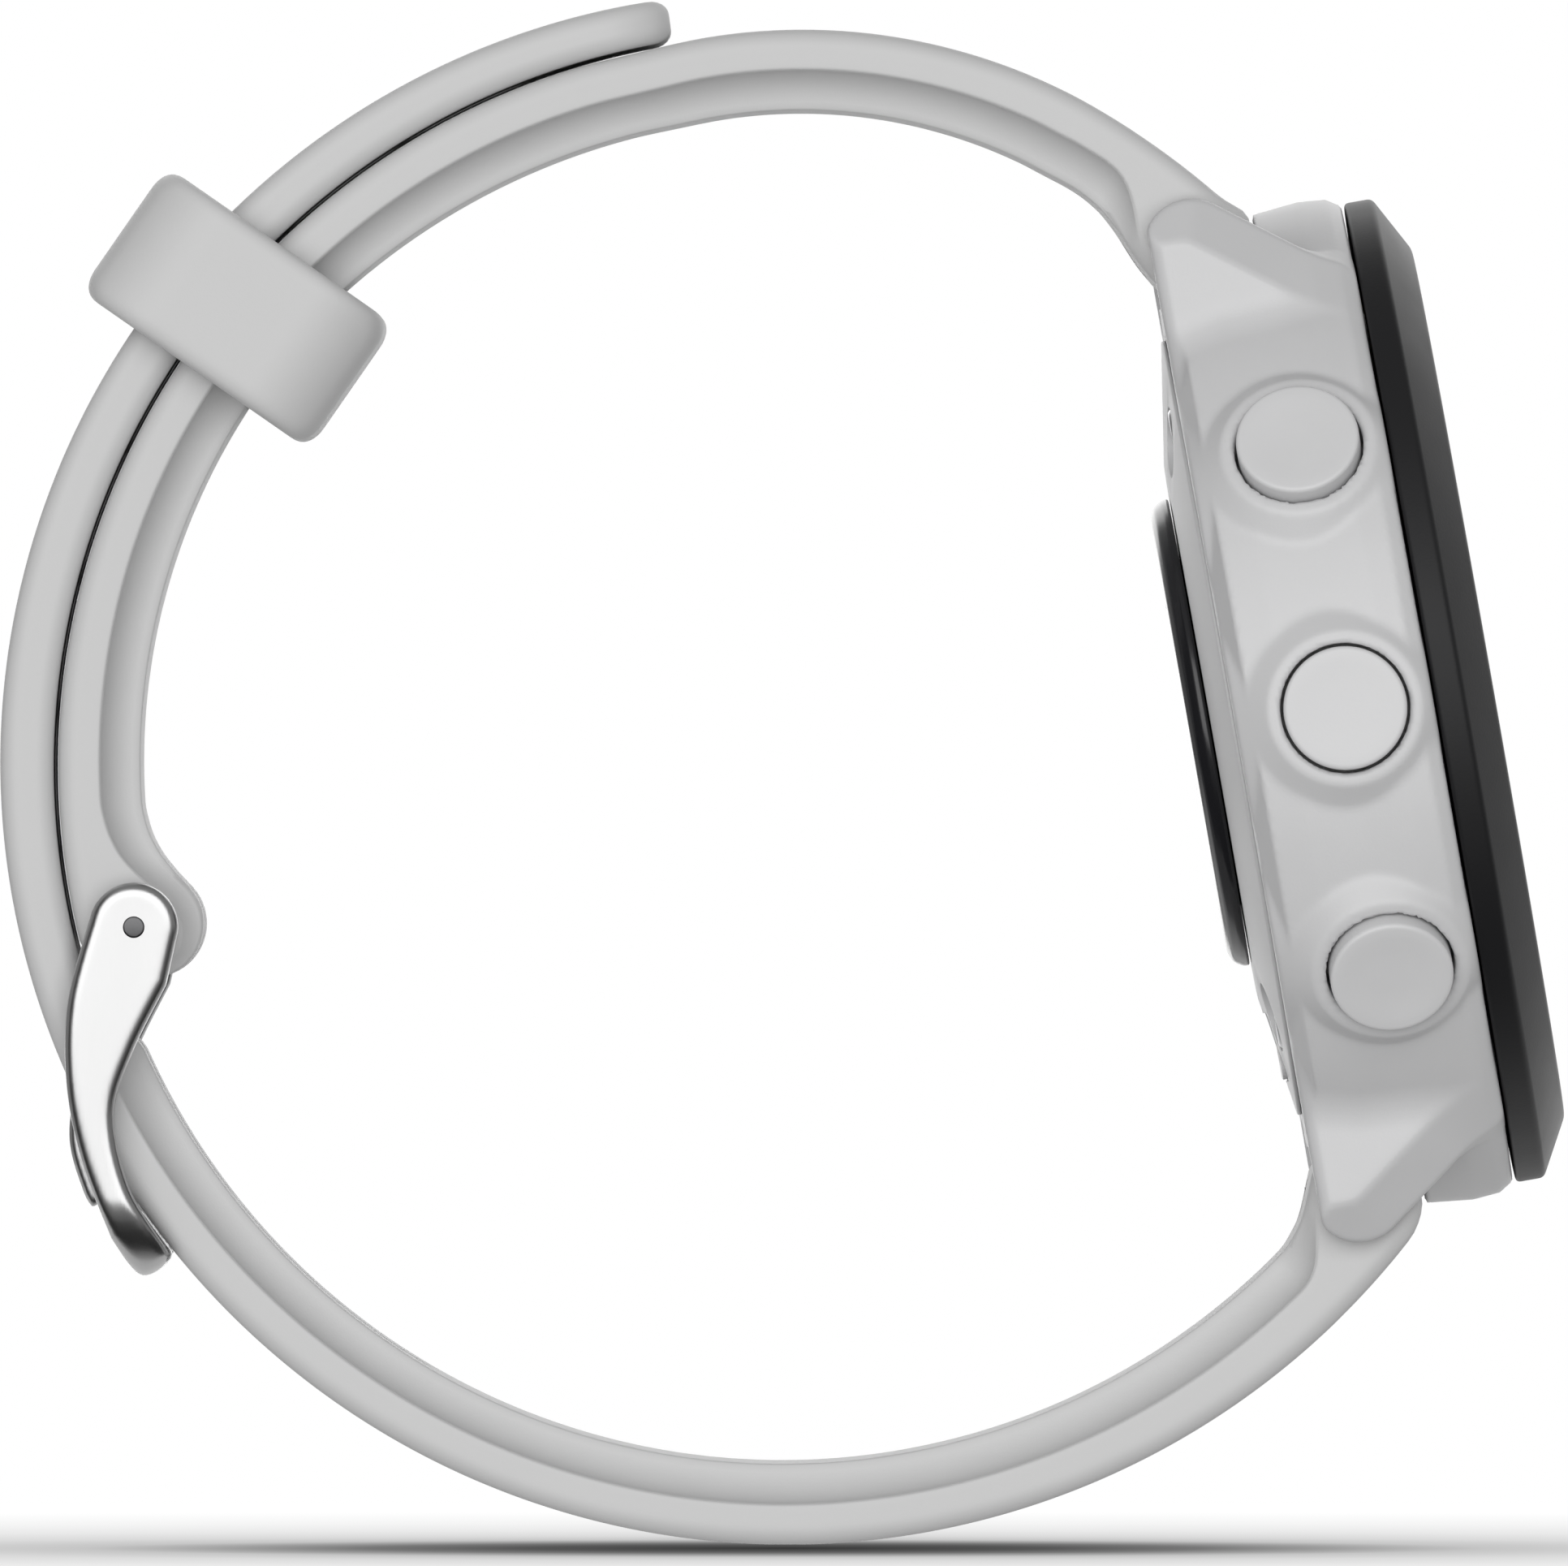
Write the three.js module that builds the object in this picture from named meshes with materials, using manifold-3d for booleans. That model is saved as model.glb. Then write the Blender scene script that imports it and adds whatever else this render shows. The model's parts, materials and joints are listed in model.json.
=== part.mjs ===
// A round running watch on a closed silicone strap, standing on the strap.
// Millimetres, +Z up, +X towards the display side, +Y towards 3 o'clock.
import * as THREE from "three";
import { mergeVertices } from "three/addons/utils/BufferGeometryUtils.js";
import Module from "manifold-3d";

const wasm = await Module();
wasm.setup();

// ---------------------------------------------------------------- driving dimensions

// Case. Its own frame has z = 0 on the flat back, +z out of the display, +x to 6 o'clock, +y to 3 o'clock.
const CASE_TILT = 10; // degrees that the display leans back from vertical
const CASE_X = 18.04; // centre of the flat back, in the watch's frame
const CASE_Z = 34.26;
const CASE_R = 21.2; // radius at the height of the buttons
const CASE_TOP = 9.3; // where the bezel sits
const CAVITY_R = 18; // inside of the case
const CAVITY_HALF_X = 16.8; // inside, towards the straps
const BACK_R = 16.6; // back cover
const BEZEL_R = 21;
const FRONT = 11.9; // front plane of the bezel
const LENS_R = 17.35;
const SENSOR_R = 10; // optical sensor housing on the back
const SENSOR_RISE = 0.95; // how far it stands out of the back

// Lugs and spring bars
const BAR_X = 20.2; // spring bar axis from the centre of the case
const BAR_Z = 2.7; // and above the flat back
const LUG_R = 2.07; // round end of a lug
const LUG_INNER = 10.2; // half the gap between two lugs
const LUG_OUTER = 12.9;
const NOTCH_X = 18.05; // wall behind the strap's end
const NOTCH_Z = 5.5; // ceiling over the strap's end
const BAR_R = 0.9; // spring bar tube
const TIP_R = 0.4; // spring bar tip
const TIP_END = 11.25; // how far out a tip reaches

// Buttons: a cap and stem on a radial axis
const BUTTON_Z = 5.6;
const BUTTON_STEP = 31; // degrees round the case between neighbours
const CAP_R = 2.6;
const CAP_IN = 20.4; // inner face of a cap, from the centre of the case
const CAP_OUT = 22.4; // outer face
const STEM_R = 0.75;
const STEM_END = 16.85;
const GUARD_OUT = 21.7; // flat ring round a cap
const GUARD_R = 3.25;
const GUARD_FOOT_R = 4.45;

// Strap. Both pieces follow circles of the side view, [x, z, radius].
const STRAP_HALF = 10; // half its width
const LOOP_CENTRE = [-0.55, 32.24];
const TAIL_OUTER_UPPER = [-0.57, 32.96, 32.46];
const TAIL_OUTER_LOWER = [0.14, 33.207, 33.207];
const TAIL_INNER = [-0.085, 32.83, 29.43];
const INTERFACE = [0.147, 32.8, 30.83]; // where the tail lies on the buckle piece
const BAND_OUTER_TOP = [0.78, 38.98, 24.85];
const BAND_OUTER_LUG = [-2.9, 32.56, 32.24];
const BAND_INNER_LEFT = [0.11, 33.02, 27.23];
const BAND_INNER_UPPER = [1.03, 30.92, 29.43];
const BAND_INNER_TOP = [0.74, 38.99, 21.46];
const BAND_INNER_LUG = [8.81, 51.85, 6.32];
const INTERFACE_GAP = 0.2;
const EDGE_R = 0.6; // rounded outer edge
const SIDE_WALL_END = 1.7; // depth where the side wall turns into the cove
const COVE = 1.7; // cove along the inner edge
const HOLE_STEP = 10.9; // degrees between the adjusting holes
const TONGUE_HOLE = 201.9; // the hole that the tongue is through
const HOLE_HALF_WIDTH = 1.35;
const HOLE_HALF_LENGTH = 2.7;
const TAIL_TIP = 97.6; // degrees round the loop
const TAIL_ROOT = 320;
const BAND_ROOT = 61;

// Buckle and keeper
const PIN_X = -27.38;
const PIN_Z = 26.02;
const PIN_R = 0.5;
const PIN_CLEARANCE = 0.1;
const BULGE_R = 2.29; // strap end round the pin
const BULGE_X = PIN_X + 0.63;
const BULGE_Z = PIN_Z + 0.13;
const ARM_INNER = 10.4;
const ARM_OUTER = 12;
const ARM_HEAD_R = 1.88;
const FRAME_FOOT = PIN_Z - 14.82; // lowest point
const FRAME_CORNER = 3.4; // round corners between the arms and the end bar
const KEEPER_CENTRE = [-23.08, 52.14];
const KEEPER_TURN = 145.2; // direction that its outer face looks, degrees from +X towards +Z
const KEEPER_ACROSS = 12;
const KEEPER_ALONG = 6.4;
const KEEPER_CORNER = 1.1;
const KEEPER_HALF = 12.4;
const KEEPER_FLAT = 2.3; // half the flat middle of its side
const KEEPER_ROUND = 3.7; // how far its side falls away towards the ends

// ---------------------------------------------------------------- materials

const finish = (color, roughness, metalness = 0) => new THREE.MeshStandardMaterial({ color, roughness, metalness });
const polymer = finish(0xc9c9c9, 0.6);
const darkPolymer = finish(0x2b2b2d, 0.45);
const silicone = finish(0xc4c4c4, 0.75);
const glass = finish(0x0d0f12, 0.05);
const panel = finish(0x07080a, 0.3);
const steel = finish(0xdfe0e2, 0.25, 1);
const rubber = finish(0x1b1b1c, 0.8);
const framePlastic = finish(0x55585c, 0.6);
const board = finish(0x14452e, 0.5);
const shieldMetal = finish(0xb5b8bb, 0.35, 1);
const foil = finish(0x8d9093, 0.4, 0.7);
const switchBody = finish(0x1f2022, 0.5);
const gold = finish(0xd8b25a, 0.3, 1);
const emitter = finish(0x5fbf6d, 0.3);
const silicon = finish(0x23262e, 0.2);

// ---------------------------------------------------------------- shapes and solids

const rad = THREE.MathUtils.degToRad;
const clamp = THREE.MathUtils.clamp;
const mix = THREE.MathUtils.lerp;

// 0 before from, 1 after to, smooth between; from may be above to.
function ramp(value, from, to) {
  const t = clamp((value - from) / (to - from), 0, 1);
  return t * t * (3 - 2 * t);
}

// A closed geometry as a solid with its faces out.
function solid(geometry) {
  const bare = geometry.clone();
  bare.deleteAttribute("normal");
  bare.deleteAttribute("uv");
  const merged = mergeVertices(bare, 1e-4);
  const triVerts = new Uint32Array(merged.index.array);
  const vertProperties = merged.attributes.position.array;
  const made = new wasm.Manifold(new wasm.Mesh({ numProp: 3, vertProperties, triVerts }));
  if (made.volume() > 0) return made;
  for (let i = 0; i < triVerts.length; i += 3) {
    [triVerts[i + 1], triVerts[i + 2]] = [triVerts[i + 2], triVerts[i + 1]];
  }
  return new wasm.Manifold(new wasm.Mesh({ numProp: 3, vertProperties, triVerts }));
}

const asSolid = (shape) => (shape.isBufferGeometry ? solid(shape) : shape);
const join = (...shapes) => shapes.map(asSolid).reduce((a, b) => a.add(b));
const cut = (shape, ...tools) => tools.map(asSolid).reduce((a, b) => a.subtract(b), asSolid(shape));
const common = (a, b) => asSolid(a).intersect(asSolid(b));

// The triangles of a solid as a geometry with one flat normal for each triangle.
function geometryOf(shape) {
  const mesh = asSolid(shape).getMesh();
  const geometry = new THREE.BufferGeometry();
  const points = new Float32Array(mesh.vertProperties);
  geometry.setAttribute("position", new THREE.BufferAttribute(points, 3));
  geometry.setIndex(new THREE.BufferAttribute(new Uint32Array(mesh.triVerts), 1));
  const flat = geometry.toNonIndexed();
  flat.computeVertexNormals();
  return flat;
}

// A profile of [radius, z] corners turned about the z axis.
function lathe(profile, segments = 64) {
  const points = profile.map(([r, z]) => new THREE.Vector2(r, z));
  if (profile[0][0] > 0) points.push(points[0].clone());
  return new THREE.LatheGeometry(points, segments).rotateX(Math.PI / 2);
}

// A round bar along z, or a cone if the top has its own radius.
function disc(radius, z0, z1, segments = 32, top = radius) {
  const bar = new THREE.CylinderGeometry(top, radius, z1 - z0, segments).rotateX(Math.PI / 2);
  return bar.translate(0, 0, (z0 + z1) / 2);
}

// A round bar along y through (x, z).
function crossBar(radius, x, z, y0, y1, segments = 24) {
  const bar = new THREE.CylinderGeometry(radius, radius, y1 - y0, segments);
  return bar.translate(x, (y0 + y1) / 2, z);
}

function block([x0, x1], [y0, y1], [z0, z1]) {
  const box = new THREE.BoxGeometry(x1 - x0, y1 - y0, z1 - z0);
  return box.translate((x0 + x1) / 2, (y0 + y1) / 2, (z0 + z1) / 2);
}

// An outline of the side view (a Shape, or corners [x, z]) given thickness from y0 to y1.
function sidePlate(outline, y0, y1, curveSegments = 8) {
  const corners = (points) => points.map(([x, z]) => new THREE.Vector2(x, z));
  const shape = outline instanceof THREE.Shape ? outline : new THREE.Shape(corners(outline));
  const plate = new THREE.ExtrudeGeometry(shape, { depth: y1 - y0, bevelEnabled: false, curveSegments });
  return plate.rotateX(Math.PI / 2).translate(0, y1, 0);
}

// An outline in x and y given thickness from z0 to z1.
function flatPlate(corners, z0, z1) {
  const shape = new THREE.Shape(corners.map(([x, y]) => new THREE.Vector2(x, y)));
  return new THREE.ExtrudeGeometry(shape, { depth: z1 - z0, bevelEnabled: false }).translate(0, 0, z0);
}

// A rectangle with round corners, centred on (x, y), as a plate from z0 to z1.
function roundPlate(x, y, length, width, corner, z0, z1) {
  const shape = new THREE.Shape();
  for (const [sx, sy, turn] of [[1, 1, 0], [-1, 1, 90], [-1, -1, 180], [1, -1, 270]]) {
    const cx = x + sx * (length / 2 - corner);
    const cy = y + sy * (width / 2 - corner);
    shape.absarc(cx, cy, corner, rad(turn), rad(turn + 90), false);
  }
  const depth = z1 - z0;
  return new THREE.ExtrudeGeometry(shape, { depth, bevelEnabled: false, curveSegments: 3 }).translate(0, 0, z0);
}

// A skin over a row of closed loops with the same number of points, with a fan over each end.
function skin(loops) {
  const count = loops[0].length;
  const middle = (loop) => loop.reduce((sum, p) => sum.add(p), new THREE.Vector3()).divideScalar(count);
  const points = [...loops.flat(), middle(loops[0]), middle(loops.at(-1))];
  const index = [];
  for (let i = 0; i < count; i += 1) {
    const next = (i + 1) % count;
    for (let k = 0; k < loops.length - 1; k += 1) {
      const a = k * count;
      const b = a + count;
      index.push(a + i, a + next, b + next, a + i, b + next, b + i);
    }
    const last = (loops.length - 1) * count;
    index.push(points.length - 2, next, i);
    index.push(points.length - 1, last + i, last + next);
  }
  const geometry = new THREE.BufferGeometry().setFromPoints(points);
  geometry.setIndex(index);
  return geometry;
}

const watch = new THREE.Group();
const caseGroup = new THREE.Group();
caseGroup.rotation.y = rad(90 - CASE_TILT);
caseGroup.position.set(CASE_X, 0, CASE_Z);
watch.add(caseGroup);

function addPiece(group, name, shape, material) {
  const mesh = new THREE.Mesh(geometryOf(shape), material);
  mesh.name = name;
  group.add(mesh);
  return mesh;
}

// ---------------------------------------------------------------- case

// A shape drawn along z, laid on the axis of the button at an angle from 9 o'clock; y1 side is 3 o'clock.
function onButtonAxis(geometry, angle, side) {
  const turned = geometry.clone().rotateX((side * -Math.PI) / 2);
  return turned.rotateZ(rad(-side * angle)).translate(0, 0, BUTTON_Z);
}

const BUTTONS = [
  { name: "light_button", angle: -BUTTON_STEP, side: -1 },
  { name: "up_button", angle: 0, side: -1 },
  { name: "down_button", angle: BUTTON_STEP, side: -1 },
  { name: "start_button", angle: -BUTTON_STEP, side: 1 },
  { name: "back_button", angle: BUTTON_STEP, side: 1 },
];

const SCREW_X = 12.3;
const SCREW_Y = 6.5;
const SCREW_PLACES = [[1, 1], [-1, 1], [-1, -1], [1, -1]].map(([sx, sy]) => [sx * SCREW_X, sy * SCREW_Y]);
const CONTACT_X = 13.6; // charging contacts, towards 6 o'clock
const CONTACT_STEP = 1.9;

// One pair of lugs at the +x end.
function lugPair() {
  const outline = new THREE.Shape();
  outline.moveTo(13, 0.95);
  outline.lineTo(17.6, 0.95);
  outline.lineTo(BAR_X - 0.5, BAR_Z - LUG_R);
  outline.absarc(BAR_X, BAR_Z, LUG_R, rad(-90), rad(42), false);
  outline.lineTo(20.96, NOTCH_Z);
  outline.lineTo(18.2, 8.7);
  outline.lineTo(13, 8.7);
  const plan = [[12, 0], [BAR_X + 3, 0], [BAR_X + 3, 10.9], [20.4, LUG_OUTER], [12, LUG_OUTER]];
  const lug = (side) =>
    common(
      sidePlate(outline, side > 0 ? LUG_INNER : -LUG_OUTER, side > 0 ? LUG_OUTER : -LUG_INNER, 10),
      flatPlate(plan.map(([x, y]) => [x, side * y]), 0, 9),
    );
  return join(lug(1), lug(-1));
}

function caseBody() {
  const barrel = lathe([
    [0, 0.95], [19.2, 0.95], [20.8, 1.65], [21.1, 3.2], [CASE_R, BUTTON_Z],
    [21.4, 7.5], [21.3, 8.65], [20.9, CASE_TOP], [0, CASE_TOP],
  ], 60);
  const lugs = lugPair();
  const guards = BUTTONS.map(({ angle, side }) =>
    onButtonAxis(disc(GUARD_FOOT_R + 0.6, 19.9, GUARD_OUT, 28, GUARD_R), angle, side));
  const trim = block([-30, 30], [-30, 30], [0.9, CASE_TOP]);
  const outside = common(join(barrel, lugs, lugs.rotate([0, 0, 180]), ...guards), trim);

  const cavity = common(disc(CAVITY_R, 1.9, 12, 48), block([-CAVITY_HALF_X, CAVITY_HALF_X], [-30, 30], [0, 12]));
  const top = disc(CAVITY_R, 6.4, 12, 48);
  const backSeat = disc(BACK_R + 0.15, 0, 2.2, 60);
  const notch = (side) => {
    const [near, far] = [side * NOTCH_X, side * 26].sort((a, b) => a - b);
    return block([near, far], [-LUG_INNER, LUG_INNER], [0, NOTCH_Z]);
  };
  const tipHoles = [1, -1].flatMap((end) =>
    [1, -1].map((side) => {
      const [near, far] = [side * (LUG_INNER - 1), side * (TIP_END + 0.25)].sort((a, b) => a - b);
      return crossBar(TIP_R + 0.1, end * BAR_X, BAR_Z, near, far, 16);
    }));
  const bores = BUTTONS.flatMap(({ angle, side }) => [
    onButtonAxis(disc(CAP_R + 0.13, CAP_IN - 0.65, 25, 28), angle, side),
    onButtonAxis(disc(1.35, 18.7, 21, 16), angle, side),
    onButtonAxis(disc(STEM_R + 0.1, 16, 19, 12), angle, side),
  ]);
  const hollow = cut(outside, cavity, top, backSeat, notch(1), notch(-1), ...tipHoles, ...bores);

  const post = ([x, y]) => {
    const side = Math.sign(x);
    const [near, far] = [x, side * (CAVITY_HALF_X + 0.2)].sort((a, b) => a - b);
    const boss = join(disc(1.7, 1.9, 6.2, 16).translate(x, y, 0), block([near, far], [y - 1.7, y + 1.7], [1.9, 6.2]));
    return cut(boss, disc(0.75, 0, 5.6, 12).translate(x, y, 0));
  };
  return join(hollow, ...SCREW_PLACES.map(post));
}

function bezelRing() {
  return lathe([
    [16.75, CASE_TOP + 0.1], [BEZEL_R, CASE_TOP + 0.1], [BEZEL_R, 10.6],
    [18.6, FRONT], [LENS_R + 0.12, FRONT], [LENS_R + 0.12, 10.3], [16.75, 10.3],
  ], 60);
}

function displayStack() {
  addPiece(caseGroup, "bezel_ring", bezelRing(), darkPolymer);
  const lens = [[0, 10.7], [LENS_R, 10.7], [LENS_R, 11.65], [LENS_R - 0.2, 11.85], [0, 11.85]];
  addPiece(caseGroup, "display_lens", lathe(lens), glass);
  const gasket = [[16.8, 10.35], [17.3, 10.35], [17.3, 10.65], [16.8, 10.65]];
  addPiece(caseGroup, "lens_gasket", lathe(gasket, 36), rubber);
  addPiece(caseGroup, "display_panel", disc(16.3, 9.2, 10.65, 56), panel);
}

function midframe() {
  const plate = disc(17.6, 7.95, 8.7, 48);
  const flexSlot = block([9.5, 12], [-5, 5], [7, 9]);
  const windows = [60, 120, 240, 300].map((turn) =>
    disc(2.6, 7, 9, 20).translate(12.5 * Math.cos(rad(turn)), 12.5 * Math.sin(rad(turn)), 0));
  return cut(plate, flexSlot, ...windows);
}

// The antenna is an arc of strip on the rim of the midframe, at 12 o'clock.
function gpsAntenna() {
  const shape = new THREE.Shape();
  shape.absarc(0, 0, 17.5, rad(115), rad(245), false);
  shape.absarc(0, 0, 16.7, rad(245), rad(115), true);
  const strip = new THREE.ExtrudeGeometry(shape, { depth: 0.35, bevelEnabled: false, curveSegments: 24 });
  return strip.translate(0, 0, 8.78);
}

function electronics() {
  addPiece(caseGroup, "midframe", midframe(), framePlastic);
  addPiece(caseGroup, "gps_antenna", gpsAntenna(), gold);
  addPiece(caseGroup, "main_board", disc(17.2, 7.0, 7.8, 48), board);
  addPiece(caseGroup, "processor_shield", roundPlate(-1.5, 0, 13, 13, 0.8, 6.05, 6.92), shieldMetal);
  addPiece(caseGroup, "battery", roundPlate(-1.5, 0, 17.6, 18.6, 1.5, 2.5, 5.85), foil);
  addPiece(caseGroup, "vibration_motor", disc(3, 2.6, 5.4, 28).translate(12.2, 0, 0), steel);
  addPiece(caseGroup, "buzzer", roundPlate(-13.8, 0, 4.2, 8.6, 0.6, 2.9, 5.7), switchBody);
}

// A button is a round cap with a softened rim and a thin stem with a groove for its clip.
function buttonSolid() {
  const rim = 0.3;
  return lathe([
    [0, STEM_END], [STEM_R - 0.15, STEM_END], [STEM_R, STEM_END + 0.15], [STEM_R, 17.3],
    [STEM_R - 0.2, 17.3], [STEM_R - 0.2, 17.75], [STEM_R, 17.75], [STEM_R, CAP_IN],
    [CAP_R, CAP_IN], [CAP_R, CAP_OUT - rim], [CAP_R - rim, CAP_OUT], [0, CAP_OUT],
  ], 24);
}

function clipSolid() {
  const ring = [[0.6, 17.36], [1.35, 17.36], [1.35, 17.68], [0.6, 17.68]];
  return cut(lathe(ring, 16), block([0, 2], [-0.3, 0.3], [17, 18]));
}

function sealSolid() {
  const points = [45, 135, 225, 315].map((turn) => {
    const angle = rad(turn);
    return [STEM_R + 0.28 + 0.25 * Math.cos(angle), 19.5 + 0.28 * Math.sin(angle)];
  });
  return lathe(points, 16);
}

// A tactile switch hangs from the main board with its plunger towards the stem.
function switchSolid() {
  const body = block([-1.9, 1.9], [-1.3, 1.1], [14.4, 15.9]);
  return join(body, disc(0.6, 15.8, 16.3, 16));
}

function buttons() {
  for (const { name, angle, side } of BUTTONS) {
    addPiece(caseGroup, name, onButtonAxis(buttonSolid(), angle, side), polymer);
    const place = (shape) => onButtonAxis(geometryOf(shape), angle, side);
    addPiece(caseGroup, `${name}_clip`, place(clipSolid()), steel);
    addPiece(caseGroup, `${name}_seal`, place(sealSolid()), rubber);
    addPiece(caseGroup, `${name}_switch`, place(switchSolid()), switchBody);
  }
}

// ---------------------------------------------------------------- back of the case

function backCover() {
  const cover = lathe([
    [7.55, 0], [11.4, 0], [BACK_R, 0.8], [BACK_R, 1.0], [15.9, 1.0],
    [15.9, 1.55], [BACK_R, 1.55], [BACK_R, 1.75], [7.55, 1.75],
  ], 48);
  const contactPocket = block([CONTACT_X - 1.5, CONTACT_X + 1.5], [-4.4, 4.4], [-1, 3]);
  const holes = SCREW_PLACES.flatMap(([x, y]) => [
    disc(0.8, -1, 3, 16).translate(x, y, 0),
    disc(1.5, -1, 1.15, 20).translate(x, y, 0),
  ]);
  return cut(cover, contactPocket, ...holes);
}

function backScrew() {
  const screw = lathe([
    [0, 0.5], [1.25, 0.5], [1.4, 0.65], [1.4, 1.05], [0.62, 1.05], [0.62, 5.3], [0, 5.3],
  ], 16);
  const socket = new THREE.CylinderGeometry(0.6, 0.6, 0.5, 6).rotateX(Math.PI / 2).translate(0, 0, 0.6);
  return cut(screw, socket);
}

function sensorHousing() {
  const floor = -0.3;
  const housing = lathe([
    [0, floor], [5.65, floor], [5.65, -SENSOR_RISE], [9.3, -SENSOR_RISE], [9.75, -0.75],
    [SENSOR_R, -0.35], [SENSOR_R, -0.08], [7.4, -0.08], [7.4, 1.75], [6.6, 1.75], [6.6, 0.45], [0, 0.45],
  ], 40);
  const led = (side) => block([-0.9, 0.9], [side * 3.2 - 0.9, side * 3.2 + 0.9], [-1, 1]);
  return cut(housing, led(1), led(-1), block([-1.9, 1.9], [-1.4, 1.4], [-1, 1]));
}

function backOfCase() {
  addPiece(caseGroup, "back_cover", backCover(), polymer);
  const gasket = [[16, 1.1], [16.7, 1.1], [16.7, 1.45], [16, 1.45]];
  addPiece(caseGroup, "back_gasket", lathe(gasket, 36), rubber);
  SCREW_PLACES.forEach(([x, y], i) => {
    addPiece(caseGroup, `back_screw_${i + 1}`, backScrew(), steel).position.set(x, y, 0);
  });
  addPiece(caseGroup, "sensor_housing", sensorHousing(), darkPolymer);
  addPiece(caseGroup, "sensor_window", disc(5.5, -SENSOR_RISE, -0.45, 48), glass);
  addPiece(caseGroup, "sensor_board", roundPlate(0, 0, 9.5, 8.5, 0.8, 0.85, 1.45), board);
  for (const side of [1, -1]) {
    const led = block([-0.7, 0.7], [side * 3.2 - 0.7, side * 3.2 + 0.7], [-0.2, 0.8]);
    addPiece(caseGroup, side > 0 ? "sensor_led_upper" : "sensor_led_lower", led, emitter);
  }
  addPiece(caseGroup, "photodiode", block([-1.6, 1.6], [-1.2, 1.2], [-0.2, 0.8]), silicon);
  const base = roundPlate(CONTACT_X, 0, 2.8, 8.6, 0.6, 0.45, 1.75);
  const holes = [-1.5, -0.5, 0.5, 1.5].map((n) => disc(0.68, 0, 3, 16).translate(CONTACT_X, n * CONTACT_STEP, 0));
  addPiece(caseGroup, "charging_port", cut(base, ...holes), polymer);
  [-1.5, -0.5, 0.5, 1.5].forEach((n, i) => {
    const contact = disc(0.6, 0.6, 1.9, 16).translate(CONTACT_X, n * CONTACT_STEP, 0);
    addPiece(caseGroup, `charging_contact_${i + 1}`, contact, gold);
  });
}

// ---------------------------------------------------------------- strap

// How far out from the centre of the loop the ray at an angle meets a circle.
function reach([cx, cz, radius], angle) {
  const dx = cx - LOOP_CENTRE[0];
  const dz = cz - LOOP_CENTRE[1];
  const along = dx * Math.cos(rad(angle)) + dz * Math.sin(rad(angle));
  return along + Math.sqrt(Math.max(0, radius * radius - (dx * dx + dz * dz - along * along)));
}

// From one circle to the next between two angles.
const blend = (first, second, angle, from, to) =>
  mix(reach(first, angle), reach(second, angle), ramp(angle, from, to));

const tailOuter = (angle) => blend(TAIL_OUTER_UPPER, TAIL_OUTER_LOWER, angle, 188, 200);
const tailInner = (angle) =>
  mix(reach(INTERFACE, angle) + INTERFACE_GAP / 2, reach(TAIL_INNER, angle), ramp(angle, 198, 205));
const bandOuter = (angle) =>
  angle < 80
    ? blend(BAND_OUTER_LUG, BAND_OUTER_TOP, angle, 61, 67)
    : mix(reach(BAND_OUTER_TOP, angle), reach(INTERFACE, angle) - INTERFACE_GAP / 2, ramp(angle, 95, 105));
const bandInner = (angle) => {
  if (angle < 82) return blend(BAND_INNER_LUG, BAND_INNER_TOP, angle, 61, 68);
  if (angle < 115) return blend(BAND_INNER_TOP, BAND_INNER_UPPER, angle, 94, 102);
  return blend(BAND_INNER_UPPER, BAND_INNER_LEFT, angle, 128, 146);
};

// The section of a strap, as [across, depth below the outer face] round the loop: rounded outer edges,
// short side walls, and a cove down to the inner face where the strap is thick enough for one.
function strapSection(half, thickness) {
  const cove = clamp(thickness - SIDE_WALL_END, 0.05, COVE);
  const round = 0.5;
  const coved = ramp(thickness, 2.3, 2.9);
  const side = [[half - EDGE_R, 0], [half, EDGE_R]];
  for (const step of [0, 45, 90]) {
    const s = Math.sin(rad(step));
    const c = Math.cos(rad(step));
    const coveAt = [half - cove * s, thickness - cove * c];
    const roundAt = [half - round * (1 - c), thickness - round * (1 - s)];
    side.push([mix(roundAt[0], coveAt[0], coved), mix(roundAt[1], coveAt[1], coved)]);
  }
  const mirrored = side.map(([across, depth]) => [-across, depth]).reverse();
  return [...side, ...mirrored];
}

function strapLoop(angle, outer, inner, half, pinch = 0) {
  const top = outer(angle) - pinch;
  const thickness = top - inner(angle) - pinch;
  return strapSection(half, thickness).map(([across, depth]) => {
    const reachOut = top - depth;
    const x = LOOP_CENTRE[0] + reachOut * Math.cos(rad(angle));
    const z = LOOP_CENTRE[1] + reachOut * Math.sin(rad(angle));
    return new THREE.Vector3(x, across, z);
  });
}

const pointAt = (reachOut, angle) => [
  LOOP_CENTRE[0] + reachOut * Math.cos(rad(angle)),
  LOOP_CENTRE[1] + reachOut * Math.sin(rad(angle)),
];

// A point of the case's frame, at y = 0, in the watch's frame.
function fromCase([x, z]) {
  const tilt = rad(CASE_TILT);
  return [
    CASE_X + x * Math.sin(tilt) + z * Math.cos(tilt),
    CASE_Z - x * Math.cos(tilt) + z * Math.sin(tilt),
  ];
}

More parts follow.
